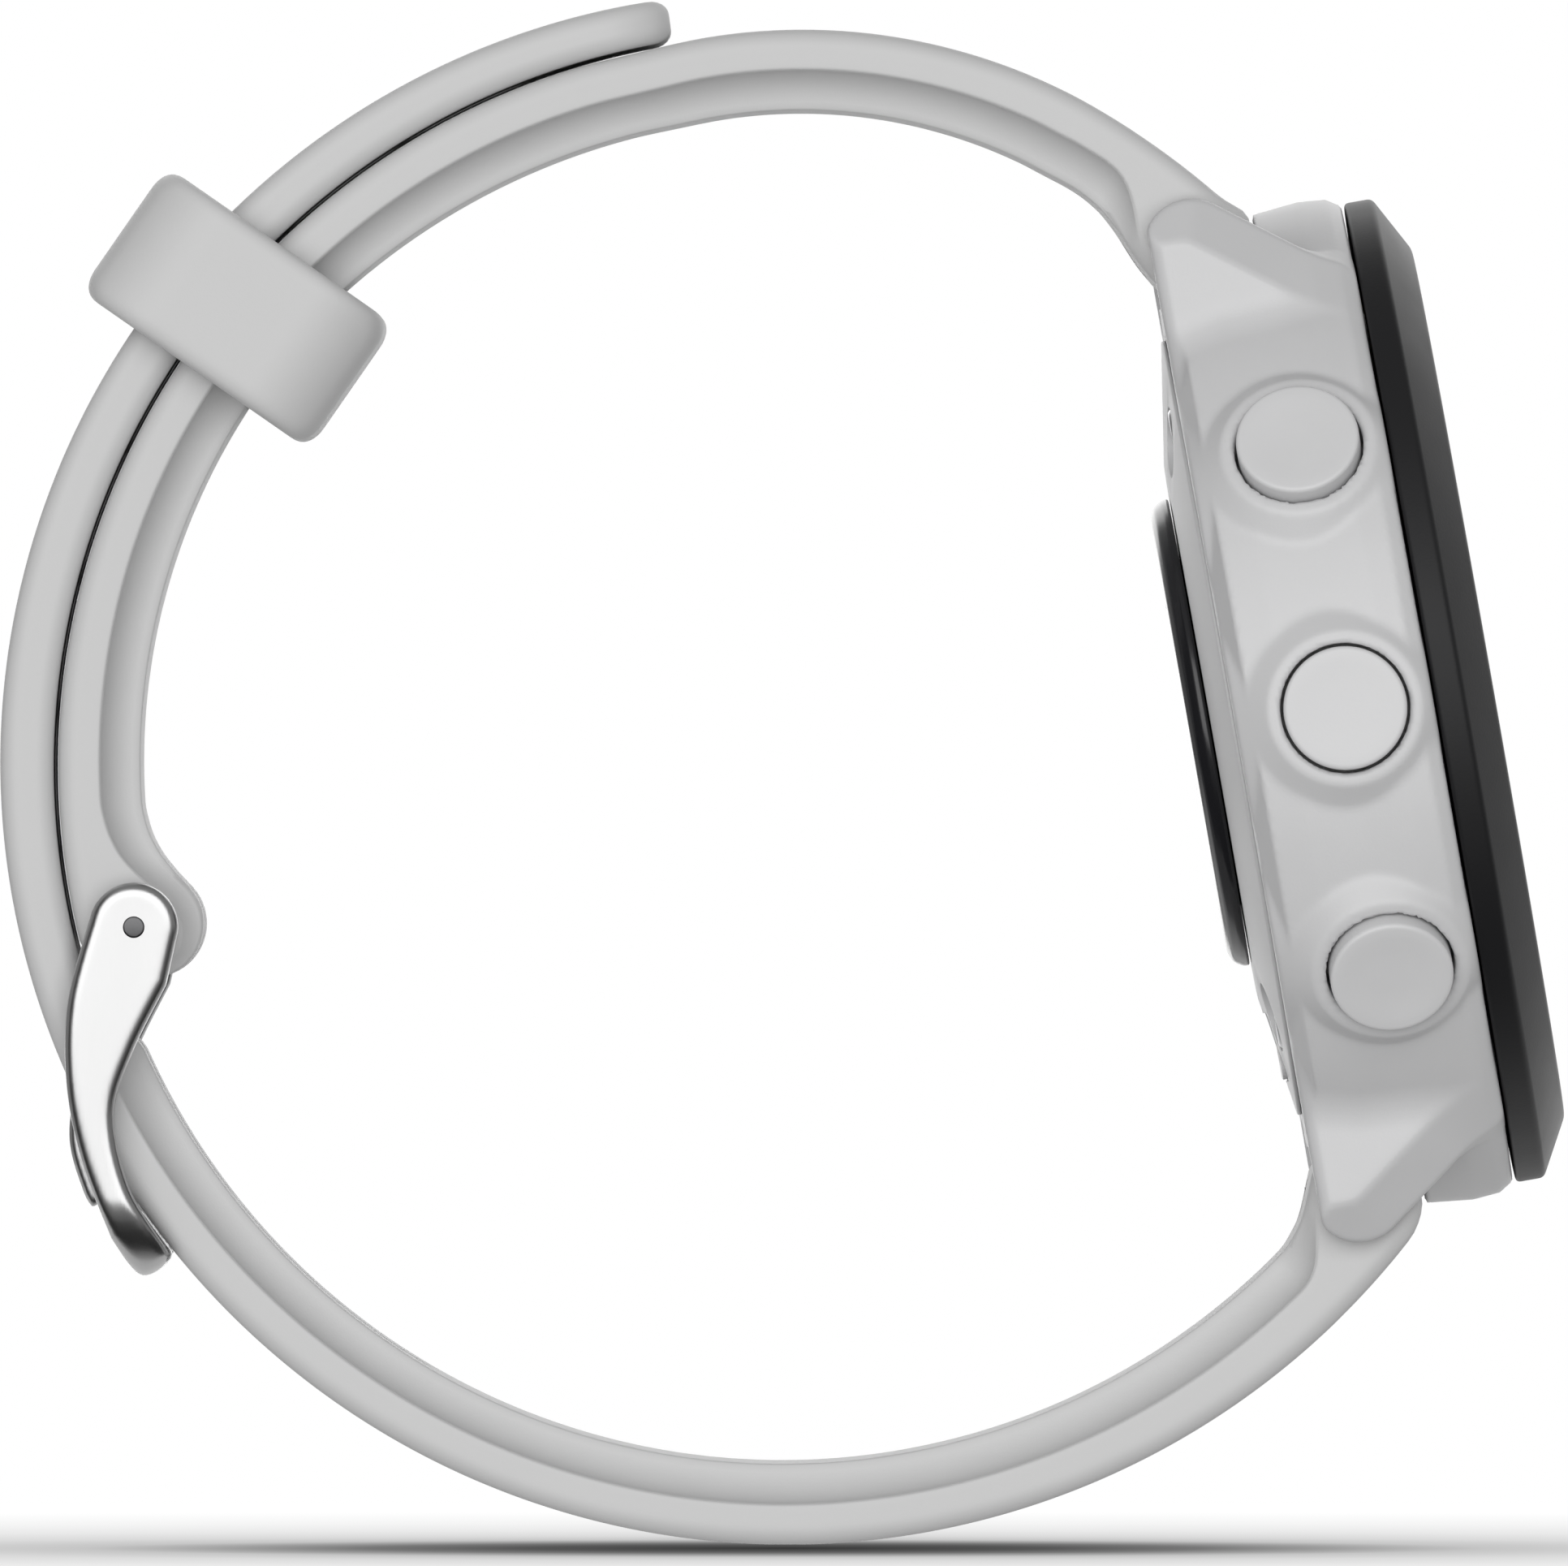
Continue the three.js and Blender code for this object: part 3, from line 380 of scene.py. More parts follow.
def case_field(x, y, z):
    """Barrel, lugs and button guards, less the cavity, the bores and the notches for the strap."""
    r = np.hypot(x, y)
    ax, ay = np.abs(x), np.abs(y)
    outside = soft_min(polygon_distance(r, z, BARREL), lug_field(x, y, z), 0.9)
    bores = []
    for name in BUTTONS:
        ux, uy = button_axis(name)
        along = x * ux + y * uy
        off = np.hypot(x * uy - y * ux, z - BUTTON_Z)
        cone = (off + along - GUARD_R - GUARD_OUT) * DIAGONAL
        outside = soft_min(outside, all_of(0.12, cone, along - GUARD_OUT, GUARD_IN - along), 0.12)
        bores += [np.maximum(off - radius, end - along) for radius, end in BORE]
    outside = all_of(0.15, outside, z - CASE_TOP, CASE_FOOT - z)
    lower = np.maximum.reduce([r - CAVITY_R, ax - CAVITY_HALF_X, CAVITY_FLOOR - z])
    cavity = np.minimum(lower, np.maximum(r - CAVITY_R, CAVITY_WIDE - z))
    off_screw = np.hypot(ax - SCREW_X, ay - SCREW_Y)
    cavity = np.maximum(cavity, -np.maximum(off_screw - POST_R, z - POST_TOP))
    cover_seat = np.maximum(r - COVER_R - 0.15, z - 2.2)
    screw_holes = np.maximum(off_screw - POST_HOLE_R, z - POST_HOLE_TOP)
    bar_holes = np.maximum(np.hypot(ax - BAR_X, z - BAR_Z) - BAR_HOLE_R, ay - BAR_HOLE_END)
    notch = np.maximum.reduce([NOTCH_X - ax, ay - LUG_INNER, z - NOTCH_Z])
    solid = soft_max(outside, -notch, 0.12)
    for cut in (cavity, cover_seat, screw_holes, bar_holes, *bores):
        solid = soft_max(solid, -cut, 0.06)
    return solid


def build_case(mats):
    """The case shell, the bezel with its sloping face, and the lens."""
    step = 0.19
    verts, faces = surface(case_field, (-22.6, -22, 0.9), (22.6, 22, 9.4), step)
    body = add_object("case_shell", verts, faces, mats, "case_polymer", "watch_case", CASE)
    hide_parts("case_body")
    rim = LENS_R + 0.12
    ring = [(BEZEL_BORE, BEZEL_FOOT), (BEZEL_R, BEZEL_FOOT), (BEZEL_R, 10.6), (18.6, FRONT), (rim, FRONT),
            (rim, 10.3), (BEZEL_BORE, 10.3)]
    bezel = turned("bezel", ring, mats, "bezel_polymer", "watch_case", CASE, 0.22, 192, 6)
    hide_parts("bezel_ring")
    lens = [(0, LENS_FOOT), (LENS_R, LENS_FOOT), (LENS_R, LENS_TOP), (0, LENS_TOP)]
    glass = turned("lens", lens, mats, "lens_glass", "watch_case", CASE, 0.2, 192, 5)
    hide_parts("display_lens")


def build_buttons(mats):
    """Each button is a cap with a shallow dish, on a stem with a groove for its clip."""
    stem = [(0, STEM_END), (STEM_R, STEM_END), (STEM_R, GROOVE[0]), (GROOVE_R, GROOVE[0]),
            (GROOVE_R, GROOVE[1]), (STEM_R, GROOVE[1]), (STEM_R, CAP_IN)]
    dish = [(CAP_R, CAP_IN), (CAP_R, CAP_OUT - 0.02), (2.15, CAP_OUT), (1.2, CAP_OUT - 0.05),
            (0, CAP_OUT - 0.07)]
    up = Vector((0, 0, 1))
    for name in BUTTONS:
        axis = Vector((*button_axis(name), 0))
        turn = Matrix((up.cross(axis), up, axis)).transposed().to_4x4()
        place = CASE @ Matrix.Translation((0, 0, BUTTON_Z)) @ turn
        cap = turned(f"{name}_key_cap", stem + dish, mats, "button_polymer", f"{name}_key", place, 0.3, 96, 6)
        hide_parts(f"{name}_button")


def build_cover(mats):
    """The back cover: a shallow cone with a seal groove round its edge, screw seats and a charging pocket."""
    profile = [(COVER_BORE, 0), (11.4, 0), (COVER_R, 0.8), (COVER_R, 1.0), (15.9, 1.0), (15.9, 1.55),
               (COVER_R, 1.55), (COVER_R, COVER_TOP), (COVER_BORE, COVER_TOP)]
    back = turned("back_plate", profile, mats, "case_polymer", "watch_case", CASE, 0.12, 160, 4)
    cutters = [drill(x * SCREW_X, y * SCREW_Y, radius, -1, top) for x in (1, -1) for y in (1, -1)
               for radius, top in ((1.5, 1.15), (0.8, 3))]
    cutters.append(plate("pocket", CONTACT_X, 0, 3, 8.8, 0.5, -1, 3))
    subtract(back, cutters)
    bevel(back, 0.06, 2, 50)
    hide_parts("back_cover")


def build_sensor(mats):
    """The optical sensor's housing, with windows for two LEDs and a photodiode under one pane."""
    shell = [(0, -0.3), (5.65, -0.3), (5.65, -0.95), (9.3, -0.95), (9.75, -0.75), (10, -0.35), (10, -0.08),
             (7.4, -0.08), (7.4, COVER_TOP), (6.6, COVER_TOP), (6.6, 0.45), (0, 0.45)]
    housing = turned("sensor_shell", shell, mats, "sensor_black", "watch_case", CASE, 0.14, 160, 5)
    windows = [plate("led", 0, side * 3.2, 1.8, 1.8, 0.2, -1, 1) for side in (1, -1)]
    subtract(housing, [*windows, plate("diode", 0, 0, 3.8, 2.8, 0.2, -1, 1)])
    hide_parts("sensor_housing")
    pane = [(0, -0.95), (5.5, -0.95), (5.5, -0.45), (0, -0.45)]
    window = turned("sensor_pane", pane, mats, "sensor_glass", "watch_case", CASE, 0.12, 128, 4)
    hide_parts("sensor_window")


def build_screws(mats):
    """Four screws with hexagon sockets, their heads level with the cover."""
    profile = [(0, 0.5), (1.25, 0.5), (1.4, 0.65), (1.4, 1.05), (0.62, 1.05), (0.62, 5.3), (0, 5.3)]
    for n, (x, y) in enumerate([(1, 1), (-1, 1), (-1, -1), (1, -1)], 1):
        place = CASE @ Matrix.Translation((x * SCREW_X, y * SCREW_Y, 0))
        head = turned(f"cover_screw_{n}", profile, mats, "screw_steel", "watch_case", place, 0.08, 64, 3)
        subtract(head, [prism("socket", 6, 0.6, x * SCREW_X, y * SCREW_Y, 0.3, 0.9)])
        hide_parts(f"back_screw_{n}")


def build_contacts(mats):
    """Four gold pads in the charging pocket."""
    profile = [(0, 0.6), (0.6, 0.6), (0.6, 1.9), (0, 1.9)]
    for n, step in enumerate((-1.5, -0.5, 0.5, 1.5), 1):
        place = CASE @ Matrix.Translation((CONTACT_X, step * CONTACT_STEP, 0))
        pad = turned(f"contact_pad_{n}", profile, mats, "antenna_gold", "watch_case", place, 0.15, 48)
        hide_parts(f"charging_contact_{n}")


def case_block(name, ring, z0, z1):
    """A cutter between two heights of the case's frame, with the outline of a ring."""
    verts = [tuple(CASE @ Vector((x, y, z))) for z in (z0, z1) for x, y in ring]
    return cutter(name, verts, prism_faces(len(ring)))


def prism(name, sides, radius, x, y, z0, z1):
    """A cutter with that many sides."""
    return case_block(name, arc(x, y, radius, 0, 360 - 360 / sides, sides), z0, z1)


def drill(x, y, radius, z0, z1):
    return prism("drill", 40, radius, x, y, z0, z1)


def plate(name, x, y, length, width, corner, z0, z1):
    """A rectangle with round corners as a cutter."""
    ring = []
    for k, (sx, sy) in enumerate(((1, 1), (-1, 1), (-1, -1), (1, -1))):
        centre = x + sx * (length / 2 - corner), y + sy * (width / 2 - corner)
        ring += arc(*centre, corner, 90 * k, 90 * (k + 1), 6)
    return case_block(name, ring, z0, z1)


# ------------------------ display

PANEL_R, PANEL_FOOT, PANEL_FACE = 16.3, 9.2, 10.5
PRINT_DEPTH = 0.06
NUMERAL_R, NUMERAL_SIZE = 13.4, 3.6


def dial_bar(angle, near, far, near_width, far_width):
    """Corners of a flat bar on the panel that points out at an angle from 12 o'clock."""
    turn = math.radians(angle)
    out = Vector((-math.cos(turn), math.sin(turn), 0))
    across = Vector((math.sin(turn), math.cos(turn), 0))
    ring = ((near, near_width), (near, -near_width), (far, -far_width), (far, far_width))
    return [tuple(out * radius + across * width / 2 + Vector((0, 0, z)))
            for z in (PANEL_FACE, PANEL_FACE + PRINT_DEPTH) for radius, width in ring]


def add_bars(name, bars, mats):
    """One printed object of several bars."""
    verts = [corner for sizes in bars for corner in dial_bar(*sizes)]
    faces = [[8 * n + k for k in face] for n in range(len(bars)) for face in prism_faces(4)]
    add_object(name, verts, faces, mats, "display", "watch_case", CASE, "dial_print", False)


def add_numeral(hour, mats):
    """An hour's number, printed upright at its place on the dial."""
    curve = bpy.data.curves.new(f"numeral_{hour}", "FONT")
    curve.body = str(hour)
    curve.size = NUMERAL_SIZE * MM
    curve.align_x = curve.align_y = "CENTER"
    curve.extrude = PRINT_DEPTH / 2 * MM
    glyph = bpy.data.objects.new(f"numeral_{hour}", curve)
    bpy.context.scene.collection.objects.link(glyph)
    turn = math.radians(30 * hour)
    spot = (-NUMERAL_R * math.cos(turn), NUMERAL_R * math.sin(turn), PANEL_FACE + PRINT_DEPTH / 2)
    upright = Matrix(((0, -1, 0), (1, 0, 0), (0, 0, 1))).to_4x4()
    place = CASE @ Matrix.Translation(spot) @ upright
    place.translation *= MM
    bpy.context.view_layer.update()
    depsgraph = bpy.context.evaluated_depsgraph_get()
    mesh = bpy.data.meshes.new_from_object(glyph.evaluated_get(depsgraph))
    mesh.transform(place)
    bpy.data.objects.remove(glyph)
    numeral = bpy.data.objects.new(f"dial_numeral_{hour}", mesh)
    bpy.context.scene.collection.objects.link(numeral)
    mesh.materials.clear()
    mesh.materials.append(mats["dial_print"])
    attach(numeral, "watch_case")


def build_display(mats):
    """The panel under the glass with a plain dial: minute marks, hour bars, numerals and two hands."""
    profile = [(0, PANEL_FOOT), (PANEL_R, PANEL_FOOT), (PANEL_R, PANEL_FACE), (0, PANEL_FACE)]
    panel = turned("display_base", profile, mats, "display", "watch_case", CASE, 0.08, 160, 3)
    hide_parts("display_panel")
    minutes = [(6 * n, 15.2, 15.9, 0.12, 0.12) for n in range(60) if n % 5]
    hours = [(30 * n, 13.6, 15.9, 0.5, 0.5) for n in range(12) if n % 3]
    add_bars("dial_marks", minutes + hours, mats)
    add_bars("dial_hands", [(305, 1.1, 8.2, 0.9, 0.7), (57, 1.1, 12.6, 0.6, 0.4)], mats)
    for hour in (12, 3, 6, 9):
        add_numeral(hour, mats)


# ------------------------ strap

# Both sides of the strap follow circles of the side view, each x, z and radius in the watch's frame.
# Angles are in degrees round the middle of the loop, from the display side over the top.
LOOP_X, LOOP_Z, LOOP_R = -0.55, 32.24, 32
TAIL_OUTER_UPPER, TAIL_OUTER_LOWER = (-0.57, 32.96, 32.46), (0.14, 33.207, 33.207)
TAIL_INNER, INTERFACE = (-0.085, 32.83, 29.43), (0.147, 32.8, 30.83)
BAND_OUTER_TOP, BAND_OUTER_LUG = (0.78, 38.98, 24.85), (-2.9, 32.56, 32.24)
BAND_INNER_LEFT, BAND_INNER_UPPER = (0.11, 33.02, 27.23), (1.03, 30.92, 29.43)
BAND_INNER_TOP, BAND_INNER_LUG = (0.74, 38.99, 21.46), (8.81, 51.85, 6.32)
HALF_GAP = 0.1  # half the space between the two sides where they overlap
STRAP_HALF = 10
EDGE_R, SIDE_WALL_END, COVE, LIP_R = 0.78, 1.7, 1.7, 0.14  # outer edge, side wall, cove and its two lips
TAIL_TIP, TAIL_ROOT, BAND_ROOT, BAND_END = 97.6, 316, 61, 180
TIP_LENGTH, TIP_CORNER, TIP_EDGE, TIP_PINCH = 3, 2.6, 0.8, 0.62  # the tail's end in plan, then in thickness
RIB_STEP = 0.6
HOLES, HOLE_STEP, TONGUE_HOLE, HOLES_PAST_TONGUE = 12, 10.9, 201.9, 8
HOLE_R, HOLE_REACH = 1.3, 1.4
KNOB_R, KNOB_REACH, KNOB_Y = 0.8, 0.9, 6.5  # slot for a spring bar's release knob

# The strap's root by its side of the case: 1 is the tail at 6 o'clock and -1 the buckle side at 12 o'clock.
# Where its outer face leaves the circles, and its inner outline in the case's frame.
ROOT_OUTER = {1: 325, -1: 52}
ROOT_INNER = {1: [(22.0, -0.7), (21.0, 0.1), (20.2, 0.45)],
              -1: [(22.5, -0.8), (21.6, -0.3), (20.6, 0.1), (19.9, 0.4)]}
ROOT_R, ROOT_GAP = 2.15, 0.25  # round of the root about its spring bar, and its gap to the notch


def ramp(value, start, end):
    """A smooth step from 0 at start to 1 at end."""
    t = np.clip((np.asarray(value, float) - start) / (end - start), 0, 1)
    return t * t * (3 - 2 * t)


def mix(a, b, t):
    return a + (b - a) * t


def reach(circle, angle):
    """How far out from the centre of the loop the ray at an angle meets a circle (x, z, radius)."""
    dx, dz = circle[0] - LOOP_X, circle[1] - LOOP_Z
    turn = np.radians(angle)
    along = dx * np.cos(turn) + dz * np.sin(turn)
    return along + np.sqrt(np.maximum(0, circle[2] ** 2 - (dx * dx + dz * dz - along * along)))


def blend(first, second, angle, start, end):
    """How far out a face lies that passes from one circle to another between two angles."""
    return mix(reach(first, angle), reach(second, angle), ramp(angle, start, end))


def tail_outer(angle):
    return blend(TAIL_OUTER_UPPER, TAIL_OUTER_LOWER, angle, 188, 200)


def tail_inner(angle):
    overlap = reach(INTERFACE, angle) + HALF_GAP
    return mix(overlap, reach(TAIL_INNER, angle), ramp(angle, 197.5, 203.5))


def band_outer(angle):
    lug_end = blend(BAND_OUTER_LUG, BAND_OUTER_TOP, angle, 61, 67)
    overlap = reach(INTERFACE, angle) - HALF_GAP
    rest = mix(reach(BAND_OUTER_TOP, angle), overlap, ramp(angle, 95, 105))
    return np.where(np.asarray(angle) < 80, lug_end, rest)


def band_inner(angle):
    angle = np.asarray(angle, float)
    lug_end = blend(BAND_INNER_LUG, BAND_INNER_TOP, angle, 61, 68)
    top = blend(BAND_INNER_TOP, BAND_INNER_UPPER, angle, 94, 102)
    left = blend(BAND_INNER_UPPER, BAND_INNER_LEFT, angle, 128, 146)
    return np.where(angle < 82, lug_end, np.where(angle < 115, top, left))


def at(reach_out, angle):
    """The point that far out from the centre of the loop at an angle, as x and z."""
    turn = np.radians(angle)
    return np.stack([LOOP_X + reach_out * np.cos(turn), LOOP_Z + reach_out * np.sin(turn)], axis=-1)


def strap_section(half, thickness, coved):
    """A closed loop of (across, depth): rounded outer edges, side walls, and coves along the inner edges."""
    small = LIP_R
    cove = float(np.clip(thickness - SIDE_WALL_END, 0.05, COVE))
    edge_r = min(EDGE_R, 0.42 * thickness)
    crown = [((half - edge_r) * k / 10, 0.0) for k in range(10)]
    edge = [(x, -y) for x, y in arc(half - edge_r, -edge_r, edge_r, 90, 0, 8)]
    low = max(edge_r + 0.02, thickness - cove - small)
    swing = math.degrees(min(small, 0.4 * cove) / cove)
    lip = arc(half - small, low, small, 0, 90, 5)
    hollow = [(half - cove * math.sin(t), thickness - cove * math.cos(t))
              for t in np.radians(np.linspace(swing, 90 - swing, 12))]
    rim = arc(half - cove - small, thickness - small, small, 0, 90, 5)
    with_cove = np.array([*lip, *hollow, *rim])
    plain = np.array(arc(half - edge_r, thickness - edge_r, edge_r, 0, 90, len(with_cove)))
    lower = mix(plain, with_cove, coved)
    wall = [(half, mix(edge_r, float(lower[0][1]), k / 4)) for k in range(1, 4)]
    inner_edge = float(lower[-1][0])
    floor_line = [(inner_edge * (1 - k / 9), thickness) for k in range(1, 9)]
    right = [*crown, *edge, *wall, *map(tuple, lower), *floor_line]
    left = [(-x, d) for x, d in reversed(right[1:])]
    return np.array([*right, (0.0, thickness), *left])


def sweep_mesh(ribs):
    """Vertices and faces of a skin over ribs, each (outer point, inner point, half width, coved)."""
    verts, faces = [], []
    for outer_p, inner_p, half, coved in ribs:
        outer_p, inner_p = np.array(outer_p, float), np.array(inner_p, float)
        thickness = float(np.linalg.norm(inner_p - outer_p))
        inward = (inner_p - outer_p) / thickness
        for across, depth in strap_section(half, thickness, coved):
            x, z = outer_p + inward * depth
            verts.append((x, across, z))
    count = len(verts) // len(ribs)
    for k in range(len(ribs) - 1):
        for i in range(count):
            n = (i + 1) % count
            faces.append([k * count + i, k * count + n, (k + 1) * count + n, (k + 1) * count + i])
    faces.append(list(range(count)))
    faces.append(list(range(len(verts) - count, len(verts))))
    return verts, faces


def resample(points, count):
    """The same path with its points evenly spaced."""
    points = np.array(points, float)
    steps = np.r_[0, np.cumsum(np.linalg.norm(np.diff(points, axis=0), axis=1))]
    wanted = np.linspace(0, steps[-1], count)
    return np.stack([np.interp(wanted, steps, points[:, k]) for k in range(points.shape[1])], axis=1)


def root_ribs(end, angle, outer, inner, count=26):
    """Ribs from the strap's swept part round the spring bar in the notch of the case, last first."""
    def place(x, z):
        p = CASE @ Vector((end * x, 0, z))
        return p.x, p.z

    def wrap(turn):
        back, up = math.cos(math.radians(turn)), math.sin(math.radians(turn))
        radius = min(ROOT_R, (BAR_X - NOTCH_X - ROOT_GAP) / max(0.01, -back))
        return place(BAR_X + radius * back, BAR_Z + radius * up)

    outer_path = [tuple(at(outer(a), a)) for a in np.linspace(angle, ROOT_OUTER[end], 5)]
    outer_path += [place(21.25, 5.3), place(20.3, 5.3)] + [wrap(t) for t in (130, 140, 150, 160, 170, 176)]
    inner_path = [tuple(at(inner(angle), angle)), *(place(*p) for p in ROOT_INNER[end])]
    inner_path += [wrap(t) for t in (235, 225, 215, 205, 195, 187, 182)]
    outer_path = resample(open_rounded(outer_path, 0.5, 3), count)
    inner_path = resample(open_rounded(inner_path, 0.5, 3), count)
    return [(outer_path[k], inner_path[k], STRAP_HALF, float(1 - ramp(k / count, 0.0, 0.45)))
            for k in range(count - 1, 0, -1)]


def swept_ribs(angles, outer, inner):
    """Ribs straight across the strap at angles round the loop; it is coved where it is thick enough."""
    ribs = []
    for angle in angles:
        top, low = float(outer(angle)), float(inner(angle))
        ribs.append((at(top, angle), at(low, angle), STRAP_HALF, float(ramp(top - low, 2.3, 2.9))))
    return ribs


def tip_ribs():
    """The tail's end: its corners round off in plan and its edge in thickness."""
    ribs = []
    for swing in np.radians(np.linspace(0, 90, 13)):
        back = TIP_LENGTH * (1 - math.sin(swing))
        narrow = TIP_CORNER * (1 - math.sqrt(max(0, 1 - (1 - back / TIP_LENGTH) ** 2)))
        edge = max(0.0, TIP_EDGE - back) / TIP_EDGE
        pinch = TIP_PINCH * (1 - math.sqrt(max(0, 1 - edge ** 2)))
        angle = TAIL_TIP + math.degrees(back / LOOP_R)
        top, low = float(tail_outer(angle)) - pinch, float(tail_inner(angle)) + pinch
        ribs.append((at(top, angle), at(low, angle), STRAP_HALF - narrow, 0.0))
    return ribs


def slot_ring(half_reach, radius, count):
    """A slot along its first axis, with the centres of its round ends half_reach from its middle."""
    return arc(half_reach, 0, radius, -90, 90, count) + arc(-half_reach, 0, radius, 90, 270, count)


def hole_cutter(angle):
    """A slot through the tail at an angle, along the strap."""
    x, z = at((tail_outer(angle) + tail_inner(angle)) / 2, angle)
    turn = math.radians(angle)
    out = Vector((math.cos(turn), 0, math.sin(turn)))
    along = Vector((-math.sin(turn), 0, math.cos(turn)))
    ring = slot_ring(HOLE_REACH, HOLE_R, 14)
    verts = [tuple(Vector((x, b, z)) + out * depth + along * a) for depth in (-4, 4) for a, b in ring]
    return cutter("hole", verts, prism_faces(len(ring)))


def cross_bar(name, radius, x, z, sides=48):
    """A round cutter across the whole strap."""
    ring = arc(x, z, radius, 0, 360 - 360 / sides, sides)
    verts = [(a, side * (STRAP_HALF + 1), b) for side in (-1, 1) for a, b in ring]
    return cutter(name, verts, prism_faces(sides))


def bar_bore(end):
    """The bore for a spring bar."""
    x, _, z = CASE @ Vector((end * BAR_X, 0, BAR_Z))
    return cross_bar("bore", 1.0, x, z)


def knob_slot(end):
    """Where the spring bar's release knob shows and slides."""
    ring = [(end * BAR_X - b, KNOB_Y + a) for a, b in slot_ring(KNOB_REACH, KNOB_R, 8)]
    return case_block("knob_slot", ring, -5.5, BAR_Z)


def build_tail(mats):
    """The side with the holes."""
    angles = np.arange(TAIL_ROOT, TAIL_TIP + 5.5, -RIB_STEP)
    ribs = root_ribs(1, TAIL_ROOT, tail_outer, tail_inner)
    ribs += swept_ribs(angles, tail_outer, tail_inner) + tip_ribs()
    strap = add_object("strap_tail_end", *sweep_mesh(ribs), mats, "strap_silicone", "tail_side_strap")
    holes = [hole_cutter(TONGUE_HOLE + (n - HOLES_PAST_TONGUE) * HOLE_STEP) for n in range(HOLES)]
    subtract(strap, [*holes, bar_bore(1), knob_slot(1)])
    bevel(strap, 0.12, 2, 60)
    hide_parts("tail_strap")


BULGE_R, BULGE_X, BULGE_Z = 2.29, PIN_X + 0.63, PIN_Z + 0.13  # strap end round the pin


def bulge_ribs(start, count=44):
    """Ribs from the swept strap round the pin: the outer side follows the tail, the inner side swells."""
    outer_path = [tuple(at(float(band_outer(a)), a)) for a in np.linspace(start, 193.5, 9)]
    outer_path += [(BULGE_X - 2.5, BULGE_Z - 1.15)] + arc(BULGE_X, BULGE_Z, BULGE_R, 222, 266, 6)
    swell = [(-0.04, 3.9), (0.37, 3.08), (0.98, 2.3)]
    inner_path = [tuple(at(float(band_inner(a)), a)) for a in np.linspace(start, 182.5, 3)]
    inner_path += [(BULGE_X + x, BULGE_Z + z) for x, z in swell] + arc(BULGE_X, BULGE_Z, BULGE_R, 46, -86, 22)
    outer_path = resample(open_rounded(outer_path, 0.6, 4), count)
    inner_path = resample(open_rounded(inner_path, 0.6, 4), count)
    return [(outer_path[k], inner_path[k], STRAP_HALF, float(1 - 0.75 * ramp(k / count, 0.3, 0.75)))
            for k in range(1, count)]


def build_band(mats):
    """The side with the buckle: its end swells round the pin and is slotted for the tongue."""
    angles = np.arange(BAND_ROOT, BAND_END + 0.01, 0.59)
    ribs = root_ribs(-1, BAND_ROOT, band_outer, band_inner)
    ribs += swept_ribs(angles, band_outer, band_inner) + bulge_ribs(BAND_END)
    strap = add_object("strap_buckle_end", *sweep_mesh(ribs), mats, "strap_silicone", "buckle_side_strap")
    opening = ((-1.5, -4), (-1.5, 1.7), (1.5, 1.7), (1.5, -4))
    corners = [(PIN_X + x, y, PIN_Z + z) for x in (-3, 3.2) for y, z in opening]
    slot = cutter("tongue_slot", corners, prism_faces(4))
    pin_bore = cross_bar("pin_bore", 0.6, PIN_X, PIN_Z)
    subtract(strap, [slot, pin_bore, bar_bore(-1), knob_slot(-1)])
    bevel(strap, 0.1, 2, 60)
    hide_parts("buckle_strap")


# ------------------------ keeper

KEEPER_X, KEEPER_Z, KEEPER_TURN = -23.08, 52.14, 145.2  # centre, and degrees that its x axis points out at
KEEPER_ACROSS, KEEPER_ALONG, KEEPER_CORNER, KEEPER_HALF = 12.0, 6.4, 1.1, 12.4
KEEPER_FLAT, KEEPER_ROUND = 2.3, 3.7  # half the flat middle of its side, and how far the side falls away
KEEPER_ROOM, KEEPER_ROOM_HALF = 0.35, 10.3  # room round the two straps, and half its width


def keeper_field(x, y, z):
    """A rounded block with room for the two straps; x out of the loop, z along it, in its own frame."""
    turn = math.radians(KEEPER_TURN)
    wx = KEEPER_X + x * math.cos(turn) - z * math.sin(turn)
    wz = KEEPER_Z + x * math.sin(turn) + z * math.cos(turn)
    ax = np.abs(x) - (KEEPER_ACROSS / 2 - KEEPER_CORNER)
    az = np.abs(z) - (KEEPER_ALONG / 2 - KEEPER_CORNER)
    side = np.hypot(np.maximum(ax, 0), np.maximum(az, 0)) + np.minimum(np.maximum(ax, az), 0) - KEEPER_CORNER
    fall = np.maximum(np.abs(x) - KEEPER_FLAT, 0) / (KEEPER_ACROSS / 2 - KEEPER_FLAT)
    back = np.maximum(np.abs(y) - KEEPER_HALF + KEEPER_ROUND, 0) / KEEPER_ROUND
    blank = soft_max(side, (np.hypot(fall, back) - 1) * KEEPER_ROUND, 0.8)
    angle = np.degrees(np.arctan2(wz - LOOP_Z, wx - LOOP_X)) % 360
    far = np.hypot(wx - LOOP_X, wz - LOOP_Z)
    angle = np.clip(angle, 115, 165)
    above, below = far - tail_outer(angle) - KEEPER_ROOM, band_inner(angle) - KEEPER_ROOM - far
    opening = all_of(0.6, above, below, np.abs(y) - KEEPER_ROOM_HALF)
    return soft_max(blank, -opening, 0.25)


